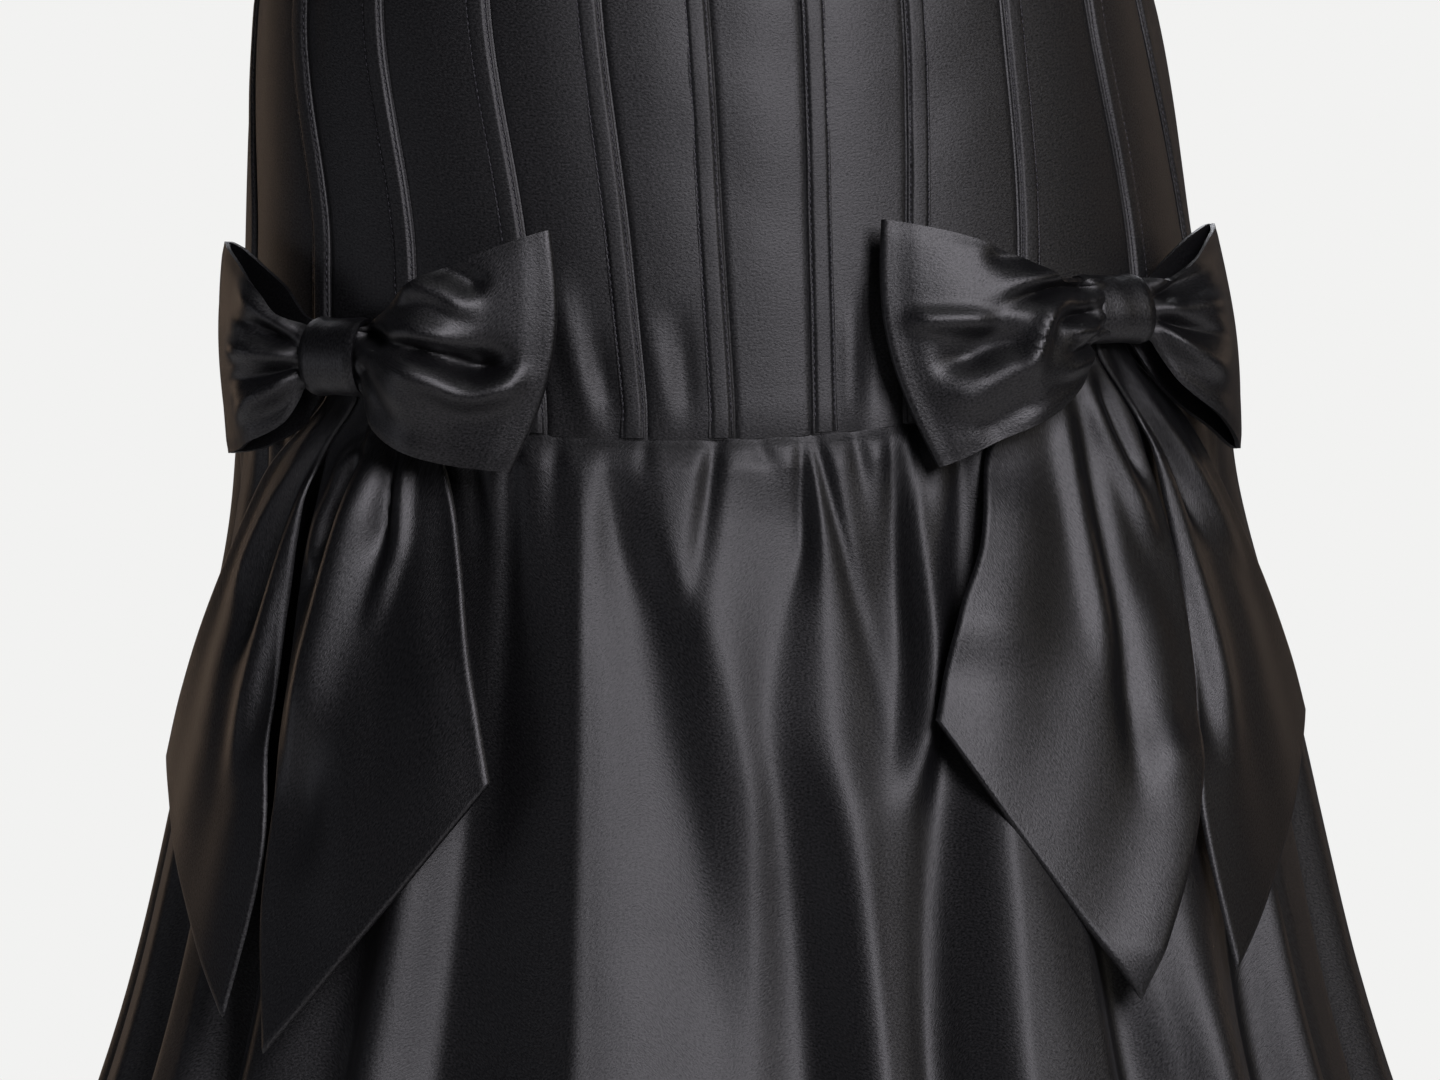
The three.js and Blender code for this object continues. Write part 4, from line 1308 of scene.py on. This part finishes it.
    def build(self, satin: Material) -> None:
        """Builds and dresses the knot, loops and tails."""
        word = self.side.word
        knot = Cloth(f"sash_{word}_knot", *self.knot_grid, self.wall, (f"bow_{word}_knot",), closed=True)
        knot.make(self.knot_place, satin, Held.FOLDED)
        for facing, scale in ((Facing.INNER, 1.0), (Facing.OUTER, self.outer_scale)):
            part = f"{word}_{facing.word}_loop"
            cloth = Cloth(f"sash_{part}", *self.loop_grid, self.wall, (f"bow_{part}",), outward=0.0)
            cloth.make(self.loop_place(facing, scale), satin, Held.FOLDED)
        inner = (Facing.INNER, self.inner_tail, self.tail_creases)
        for facing, rows, creases in (inner, (Facing.OUTER, OUTER_TAIL, self.outer_creases)):
            part = f"{word}_{facing.word}_tail"
            cloth = Cloth(
                f"sash_{part}", *self.tail_grid, self.wall, (f"bow_{part}",), outward=self.tail_outward,
            )
            cloth.make(self.tail_place(rows, creases), satin, Held.HUNG)
        LOG.info("bow %s", word)


def bow_right() -> Bow:
    """The bow on the wearer's right hip, with the creases that it shows."""
    return Bow(
        side=Side.RIGHT, angle=-51, z=-184, outer_scale=0.9,
        loop_rows=(
            LoopRow(0.6, 7, 0.6, -7, 19, 10),
            LoopRow(10.5, 10, 10.5, -10, 21.5, 9),
            LoopRow(20, 14, 18, -23, 26, 11.5),
            LoopRow(33, 25.5, 31, -31, 31, 11.8),
            LoopRow(50, 34, 44, -35, 24.5, 12),
            LoopRow(69, 42, 58, -37, 18.5, 13),
        ),
        inner_tail=(
            TailRow(9.2, -3, 0.6, -3, 0),
            TailRow(15, 14, 0.6, 13, 0.3),
            TailRow(35, 34, -10, 34, 2),
            TailRow(44.5, 66, -10.3, 68, 5),
            TailRow(50, 92, -4, 122, 6),
            TailRow(56, 116, -1, 175, 5),
            TailRow(61, 138, 9, 228, 1.5),
        ),
        loop_creases=(
            Crease(((14, 8), (22, 6), (31, 3)), -6.0, 2.8, 3.6, rooted=True),
            Crease(((24, 6), (33, 4), (42, 1), (50, -2), (60, -1)), -5.6, 3.4, 4.0),
            Crease(((40, -3), (52, -3), (64, 1)), -5.4, 7.0, 5.0, 0.5),
            Crease(((18, 3), (31, -3), (41, -8), (50, -12), (60, -9), (70, 0)), 4.6, 4.6),
            Crease(((24, 17), (33, 24), (41, 22), (53, 12)), 3.6, 3.8),
            Crease(((34, 30), (43, 28), (54, 21)), -3.2, 3.6),
            Crease(((15, 10), (24, 9.5), (34, 8), (44, 5.5), (54, 3)), 3.8, 6.5, 2.8, 0.35),
            Crease(((15, -4), (22, -12), (30, -22)), -3.2, 3.2, rooted=True),
            Crease(((16, -1), (32, -13), (44, -26)), 2.4, 5.5, rooted=True),
        ),
        tail_creases=(
            Crease(((14, -14), (13, -28), (10, -45), (6, -70), (4, -100), (3, -150)), 10.5, 9.0, 6.0),
            Crease(((22, -20), (24, -47), (25, -61), (23, -74), (19, -94)), 3.2, 2.8),
            Crease(((18, -18), (19, -34), (19, -56), (17, -72)), -2.6, 2.6),
            Crease(((13, -12), (9, -28), (0, -36), (-6, -46)), 3.2, 2.8),
            Crease(((5, -34), (-3, -47), (-6, -58), (-5, -78)), 3.0, 3.2),
            Crease(((10, -16), (6, -32), (1, -46), (-1, -70)), -2.4, 3.0),
            Crease(((34, -36), (38, -66), (44, -110)), -1.6, 8.0),
            Crease(((0, -96), (6, -130), (12, -176)), -1.6, 6.0),
        ),
        outer_creases=(
            Crease(((-4, -12), (-12, -28), (-22, -46), (-30, -80), (-34, -110)), -3.2, 4.0),
            Crease(((-2, -14), (-12, -34), (-20, -60), (-22, -100), (-24, -150)), 3.0, 4.6),
            Crease(((-8, -16), (-24, -38), (-38, -62), (-46, -90)), 2.4, 4.6),
            Crease(((-14, -60), (-16, -100), (-18, -140)), -2.2, 5.4),
        ),
    )


def bow_left() -> Bow:
    """The bow on the wearer's left hip, with the creases that it shows."""
    return Bow(
        side=Side.LEFT, angle=41.4, z=-168.4, outer_scale=0.94, knot_turn=0.26,
        loop_rows=(
            LoopRow(0.6, 7, 0.6, -7, 19, 10),
            LoopRow(10.5, 10, 10.5, -10, 21.5, 9),
            LoopRow(21.5, 10, 20, -25, 26, 11.5),
            LoopRow(35, 17, 34, -36, 29, 11.8),
            LoopRow(54, 25, 48, -43, 23.5, 12),
            LoopRow(74, 30, 62, -51, 15.5, 12),
        ),
        inner_tail=(
            TailRow(9.2, -3, 0.6, -3, 0),
            TailRow(15, 15, 0.6, 13, 0.3),
            TailRow(46, 47, -12, 40, 2),
            TailRow(54, 78, -15, 78, 5),
            TailRow(62, 97, -11, 118, 6),
            TailRow(67, 116, 0, 165, 5),
            TailRow(70.5, 133, 23.6, 224.6, 1.5),
        ),
        loop_creases=(
            Crease(((14, 8), (26, 7), (36, 5), (44, 2), (54, 0)), -5.0, 2.8, 3.2, rooted=True),
            Crease(((15, 11), (26, 12), (36, 10), (50, 7)), 3.6, 2.8, rooted=True),
            Crease(((24, 15), (36, 17), (50, 18)), -3.4, 3.6),
            Crease(((44, -4), (60, -3), (76, -3)), 3.4, 3.6),
            Crease(((36, -5), (46, -11), (56, -16), (68, -17)), -6.6, 8.5, 4.5, 0.45),
            Crease(((15, 6), (25, 4), (31, 1), (35, -6), (38, -14), (42, -25)), 4.4, 2.8),
            Crease(((14, -1), (22, -2), (28, -4), (31, -13)), -4.6, 2.4, rooted=True),
            Crease(((14, -6), (21, -7), (27, -10)), 3.0, 2.2, rooted=True),
            Crease(((14, -11), (22, -14), (30, -15)), -3.8, 2.0, rooted=True),
            Crease(((14, -15), (22, -19), (31, -22)), 2.4, 2.2, rooted=True),
            Crease(((40, -10), (52, -24), (64, -34)), 2.6, 7.0),
            Crease(((34, -26), (46, -35), (56, -41)), -1.8, 5.0),
        ),
        tail_creases=(
            Crease(((18, -16), (18, -40), (19, -74), (19, -100), (20, -130)), 2.8, 4.2, 5.0),
            Crease(((11.5, -18), (11.5, -50), (12.5, -90), (14.5, -130), (17, -168)), -3.6, 4.4),
            Crease(((8, -16), (5, -35), (-2, -56), (-8, -84)), 3.2, 4.0),
            Crease(((2, -18), (-3, -38), (-10, -62)), -2.8, 3.2),
            Crease(((0, -80), (2, -120), (10, -170)), 2.0, 6.0),
            Crease(((50, -44), (56, -84), (62, -122)), 4.0, 22.0),
            Crease(((-4, -130), (2, -162), (12, -196), (24, -226)), 4.6, 13.0, None, 0.2),
        ),
        outer_creases=(
            Crease(((-4, -12), (-12, -28), (-24, -50), (-32, -84)), -3.0, 3.8),
            Crease(((-2, -14), (-12, -34), (-20, -60), (-22, -110), (-20, -160)), 2.8, 4.6),
            Crease(((-8, -16), (-26, -40), (-42, -66), (-52, -96)), 2.4, 4.4),
            Crease(((-14, -70), (-14, -110), (-14, -160)), -2.4, 5.4),
        ),
    )


@dataclass
class Stitching:
    """Lines of lockstitch: each stitch is a short plump length of thread."""

    pitch: float = 2.5
    length: float = 1.7
    radius: float = 0.42
    # Shares along a channel and along an edge, from, to and the number of marks
    channel_line: tuple[float, float, int] = (0.012, 0.988, 260)
    edge_line: tuple[float, float, int] = (0.01, 0.99, 200)
    neckline_share: float = 0.989
    hem_share: float = 0.018
    channel_sink: float = -0.05
    normal_step: float = 0.002

    def template(self) -> tuple[Array, Array]:
        """Models one stitch as a long bead.

        Returns:
            Its points along X in millimetres, and its triangles.
        """
        deselect()
        bpy.ops.mesh.primitive_uv_sphere_add(segments=4, ring_count=3, radius=1.0)
        bpy.ops.object.mode_set(mode="EDIT")
        bpy.ops.mesh.select_all(action="SELECT")
        bpy.ops.mesh.quads_convert_to_tris()
        bpy.ops.object.mode_set(mode="OBJECT")
        points, triangles = take_apart(bpy.context.object)
        sizes = (self.length / 2, self.radius, self.radius)
        return points[:, (2, 0, 1)] * sizes, np.array(triangles)[:, ::-1]

    def run(self, line: Array, normals: Array) -> tuple[Array, Array, Array]:
        """Places of the stitches along one line.

        Args:
            line: points along the seam in millimetres.
            normals: directions out of the cloth there.
        Returns:
            Centres, directions along the line, and directions out, one row for each stitch.
        """
        steps = np.linalg.norm(np.diff(line, axis=0), axis=-1)
        run = np.concatenate([[0.0], np.cumsum(steps)])
        count = int(run[-1] / self.pitch)
        marks = (np.arange(count) + 0.5) * run[-1] / count
        centre = np.stack([np.interp(marks, run, line[:, k]) for k in range(3)], axis=-1)
        ahead = np.stack([np.interp(marks + 0.5, run, line[:, k]) for k in range(3)], axis=-1)
        out = np.stack([np.interp(marks, run, normals[:, k]) for k in range(3)], axis=-1)
        along = unit(ahead - centre)
        return centre, along, unit(out - along * (out * along).sum(axis=-1, keepdims=True))

    def join(self, name: str, runs: Sequence[tuple[Array, Array, Array]], finish: Material) -> None:
        """Makes one piece of many stitches.

        Args:
            name: the piece's name.
            runs: the rows of stitches.
            finish: the thread's material.
        """
        points, faces = self.template()
        centre, along, out = (np.concatenate([run[k] for run in runs]) for k in range(3))
        across = np.cross(out, along)
        axes = np.stack([along, across, out], axis=1)
        placed = np.einsum("pk,nkc->npc", points, axes) + centre[:, None, :]
        shift = np.arange(len(centre))[:, None, None] * len(points)
        piece = mesh_piece(name, placed.reshape(-1, 3), (faces[None] + shift).reshape(-1, 3).tolist())
        bpy.ops.object.mode_set(mode="EDIT")
        bpy.ops.mesh.select_all(action="SELECT")
        bpy.ops.mesh.normals_make_consistent(inside=False)
        bpy.ops.object.mode_set(mode="OBJECT")
        bpy.ops.object.shade_smooth()
        piece.data.materials.append(finish)
        LOG.info("%s: %d stitches", name, len(centre))

    def on_surface(self, place: Rule, u: Array, v: Array, sink: float) -> tuple:
        """A row of stitches along a line drawn on a piece's own rule.

        Args:
            place: the piece's rule.
            u, v: shares across and up, along the line.
            sink: how far the thread's middle lies in the cloth.
        Returns:
            The row.
        """
        step = self.normal_step
        line = place(u, v)
        du = place(np.clip(u + step, 0, 1), v) - place(np.clip(u - step, 0, 1), v)
        dv = place(u, np.clip(v + step, 0, 1)) - place(u, np.clip(v - step, 0, 1))
        out = unit(np.cross(du, dv))
        return self.run(line - out * sink, out)

    def build(self, bodice: Bodice, skirt: Skirt, finish: Material) -> None:
        """Sews the channels, the hem and the neckline."""
        v = np.linspace(*self.channel_line)
        for side in Side:
            runs = []
            for number in range(1, len(bodice.seams) + 1):
                place = bodice.channel_place(number, side)
                for row in bodice.stitch_rows:
                    across = row / bodice.channel_width
                    u = np.full(v.shape, across if side is Side.LEFT else 1 - across)
                    runs.append(self.on_surface(place, u, v, self.channel_sink))
            self.join(f"stitching_channels_{side.word}", runs, finish)
        u = np.linspace(*self.edge_line)
        panels = [bodice.panel_place(index) for index in range(len(bodice.panel_names))]
        skirts = [skirt.place(panel.start, panel.end) for panel in skirt.panels]
        for name, places, share in (
            ("neckline", panels, self.neckline_share), ("hem", skirts, self.hem_share),
        ):
            runs = [self.on_surface(place, u, np.full(u.shape, share), 0.0) for place in places]
            self.join(f"stitching_{name}", runs, finish)


@dataclass
class BackZip:
    """Closed zip at the centre back: two tapes, two rows of teeth and the slider's finish."""

    top: float = 131.0
    pitch: float = 2.2
    tooth: tuple[float, float, float] = (3.0, 1.1, 1.2)
    tape_width: float = 9.0
    tape_thickness: float = 0.5
    tape_grid: tuple[int, int] = (24, 48)
    tape_from: float = 0.3
    tape_bottom: float = 4.0
    tape_top: float = 12.0
    rib_height: float = 0.12
    rib_pitch: float = 1.5
    lift: float = 1.3
    tooth_bevel: float = 0.25
    tooth_lift: float = 1.1
    # Degrees from the centre back to the middle of a tooth
    tooth_away: float = 0.45
    teeth_bottom: float = 6.0
    teeth_smooth_below: float = math.radians(35)

    def tape_place(self, side: Side) -> Rule:
        """Rule that lays one tape over the edge of its back panel."""

        def place(u: Array, v: Array) -> Array:
            """The rule."""
            back = np.full(u.shape, 180.0)
            z = mix(waist_seam(back) + self.tape_bottom, self.top + self.tape_top, v)
            across = self.tape_from + self.tape_width * (u if side is Side.RIGHT else 1 - u)
            angle = side * (180 - across / FIGURE.mm_per_degree(back, z))
            rib = self.rib_height * np.cos(across * 2 * np.pi / self.rib_pitch)
            return FIGURE.point(angle, z, self.lift + self.tape_thickness + rib)

        return place

    def teeth(self, finish: Material) -> None:
        """Models one tooth and copies it down both edges of the zip."""
        deselect()
        bpy.ops.mesh.primitive_cube_add(size=1.0)
        block = bpy.context.object
        block.scale = self.tooth
        bpy.ops.object.transform_apply(location=False, rotation=False, scale=True)
        apply_modifier(block, "BEVEL", width=self.tooth_bevel, segments=1)
        points, faces = take_apart(block)
        bottom = float(waist_seam(180.0)) + self.teeth_bottom
        count = int((self.top - bottom) / self.pitch)
        x, y, up = points.T
        placed: list[Array] = []
        polygons: list[tuple[int, ...]] = []
        for number in range(2 * count):
            side = 1 if number % 2 else -1
            z = bottom + (number / 2) * self.pitch
            centre = FIGURE.point(180 - side * self.tooth_away, z, self.lift + self.tooth_lift)
            turn = float(FIGURE.curves["turn"](z)) * RAD
            c, s = math.cos(turn), math.sin(turn)
            placed.append(np.stack([x * c - y * s, x * s + y * c, up], axis=-1) + centre)
            polygons.extend(tuple(number * len(points) + k for k in face) for face in faces)
        piece = mesh_piece("zip_teeth", np.concatenate(placed), polygons)
        bpy.ops.object.shade_smooth_by_angle(angle=self.teeth_smooth_below)
        dress(piece, finish)

    def build(self, tape: Material, metal: Material) -> None:
        """Builds the tapes and teeth and finishes the slider and its pull tab."""
        for side in Side:
            cloth = Cloth(f"zip_tape_{side.word}", *self.tape_grid, self.tape_thickness)
            cloth.make(self.tape_place(side), tape, Held.STRETCHED)
        self.teeth(metal)
        for name in ("zip_slider", "zip_tab"):
            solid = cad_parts[name]
            solid.data.materials.clear()
            solid.data.materials.append(metal)
        LOG.info("back zip")


@dataclass(frozen=True)
class Softbox:
    """A soft studio light, aimed at the gown."""

    name: str
    azimuth: float
    elevation: float
    distance: float
    width: float
    height: float
    power: float
    tint: str
    aim_z: float = -0.2


@dataclass
class Studio:
    """Pale floor, soft lights and the camera."""

    floor_z: float = -1.0825
    floor_radius: float = 3.4
    floor_solid: float = 1.6
    # The floor has faded out by this much before its edge
    floor_margin: float = 0.1
    floor_shades: tuple[str, str] = ("e9e8e6", "efeeec")
    dim_tint: str = "dfe1ea"
    dim_strength: float = 0.036
    pale_tint: str = "fbfbfa"
    pale_strength: float = 0.92
    lights: tuple[Softbox, ...] = (
        Softbox("key", 20, 26, 2.7, 0.75, 1.6, 65, "f7f3fc"),
        Softbox("window", 66, 16, 2.8, 0.5, 1.2, 3, "fff3dc"),
        Softbox("low_left", -78, -10, 3.0, 1.2, 0.8, 4.5, "f2f2ff"),
        Softbox("warm_left", -138, 2, 3.0, 0.6, 1.0, 3, "ffdcbe"),
        Softbox("warm_right", 124, 10, 3.0, 0.6, 1.0, 2.5, "ffe0c6"),
        Softbox("back_left", 166, 34, 3.0, 1.0, 1.6, 26, "f6f8ff"),
        Softbox("back_right", 196, 34, 3.0, 1.0, 1.6, 26, "f8f8ff"),
        Softbox("top", 20, 76, 3.2, 1.4, 1.4, 6, "ffffff"),
    )
    camera_at: tuple[float, float, float] = (-0.123, -2.311, -0.129)
    camera_aim: tuple[float, float, float] = (0.011, -0.118, -0.244)
    lens: float = 166.7
    sensor: float = 36.0
    clip: tuple[float, float] = (0.05, 200.0)
    # Middle of the ring of lights
    ring_at: tuple[float, float] = (0.02, 0.0)

    def camera(self) -> None:
        """Sets the camera at the photo's angle, close on the hips."""
        data = bpy.data.cameras.new("camera")
        data.lens = self.lens
        data.sensor_width = self.sensor
        data.clip_start, data.clip_end = self.clip
        made = bpy.data.objects.new("camera", data)
        bpy.context.collection.objects.link(made)
        at, aim = Vector(self.camera_at), Vector(self.camera_aim)
        made.location = at
        made.rotation_euler = (aim - at).to_track_quat("-Z", "Y").to_euler()
        bpy.context.scene.camera = made

    def light(self, box: Softbox) -> None:
        """Hangs one softbox round the gown, turned to face it."""
        a, e = box.azimuth * RAD, box.elevation * RAD
        back = Vector((math.sin(a) * math.cos(e), -math.cos(a) * math.cos(e), math.sin(e)))
        data = bpy.data.lights.new(box.name, "AREA")
        data.shape = "RECTANGLE"
        data.size, data.size_y = box.width, box.height
        data.energy = box.power
        data.color = linear(box.tint)[:3]
        made = bpy.data.objects.new(box.name, data)
        bpy.context.collection.objects.link(made)
        made.location = Vector((*self.ring_at, box.aim_z)) + back * box.distance
        made.rotation_euler = (-back).to_track_quat("-Z", "Y").to_euler()
        made.visible_camera = False

    def floor(self) -> None:
        """Lays a pale seamless floor just under the hem."""
        deselect()
        bpy.ops.mesh.primitive_circle_add(
            vertices=96, radius=self.floor_radius, fill_type="TRIFAN", location=(0, 0, self.floor_z),
        )
        ground = bpy.context.object
        ground.name = "floor"
        made, tree = start_material("pale_floor")
        solid = node(tree, "ShaderNodeTexCoord").outputs["Object"]
        grain = node(tree, "ShaderNodeTexNoise", Vector=solid, Scale=3.0, Detail=4.0)
        first, second = (linear(shade) for shade in self.floor_shades)
        shade = node(
            tree, "ShaderNodeMix", {"data_type": "RGBA", 0: grain.outputs["Fac"], 6: first, 7: second},
        )
        shader = node(
            tree, "ShaderNodeBsdfPrincipled", Base_Color=shade.outputs[2], Roughness=0.8,
            Specular_IOR_Level=0.2,
        )
        far = node(tree, "ShaderNodeVectorMath", {"operation": "LENGTH", 0: solid}).outputs["Value"]
        gone = self.floor_radius - self.floor_margin
        fade = node(
            tree, "ShaderNodeMapRange",
            {"interpolation_type": "SMOOTHSTEP", 0: far, 1: self.floor_solid, 2: gone},
        )
        clear = node(tree, "ShaderNodeBsdfTransparent")
        both = node(
            tree, "ShaderNodeMixShader", {0: fade.outputs[0], 1: shader.outputs[0], 2: clear.outputs[0]},
        )
        node(tree, "ShaderNodeOutputMaterial", Surface=both.outputs[0])
        ground.data.materials.append(made)

    def world(self) -> None:
        """Pale surroundings for the camera, kept dim as a light so that the softboxes shape the satin."""
        made = bpy.data.worlds.new("studio")
        bpy.context.scene.world = made
        made.use_nodes = True
        tree = made.node_tree
        tree.nodes.clear()
        path = node(tree, "ShaderNodeLightPath")
        dim = node(tree, "ShaderNodeBackground", Color=linear(self.dim_tint), Strength=self.dim_strength)
        pale = node(tree, "ShaderNodeBackground", Color=linear(self.pale_tint), Strength=self.pale_strength)
        both = node(
            tree, "ShaderNodeMixShader",
            {0: path.outputs["Is Camera Ray"], 1: dim.outputs[0], 2: pale.outputs[0]},
        )
        node(tree, "ShaderNodeOutputWorld", Surface=both.outputs[0])

    def build(self) -> None:
        """Sets up the whole studio."""
        self.camera()
        for box in self.lights:
            self.light(box)
        self.floor()
        self.world()
        bpy.context.scene.view_settings.view_transform = "Standard"


def main() -> None:
    """Builds and dresses the gown in order."""
    Studio().build()
    panel_satin = DuchessSatin("duchess_satin_panels").build()
    skirt_satin = DuchessSatin("duchess_satin_skirt").build()
    channel_satin = DuchessSatin("duchess_satin_channels", roughness=0.5).build()
    sash_satin = DuchessSatin("duchess_satin_sash", roughness=0.41).build()
    thread = SewingThread().build()
    zinc = LacqueredZinc().build()
    bodice, skirt = Bodice(), Skirt()
    bodice.build(panel_satin, channel_satin)
    skirt.build(skirt_satin)
    for bow in (bow_right(), bow_left()):
        bow.build(sash_satin)
    Stitching().build(bodice, skirt, thread)
    BackZip().build(channel_satin, zinc)


if __name__ == "__main__":
    main()
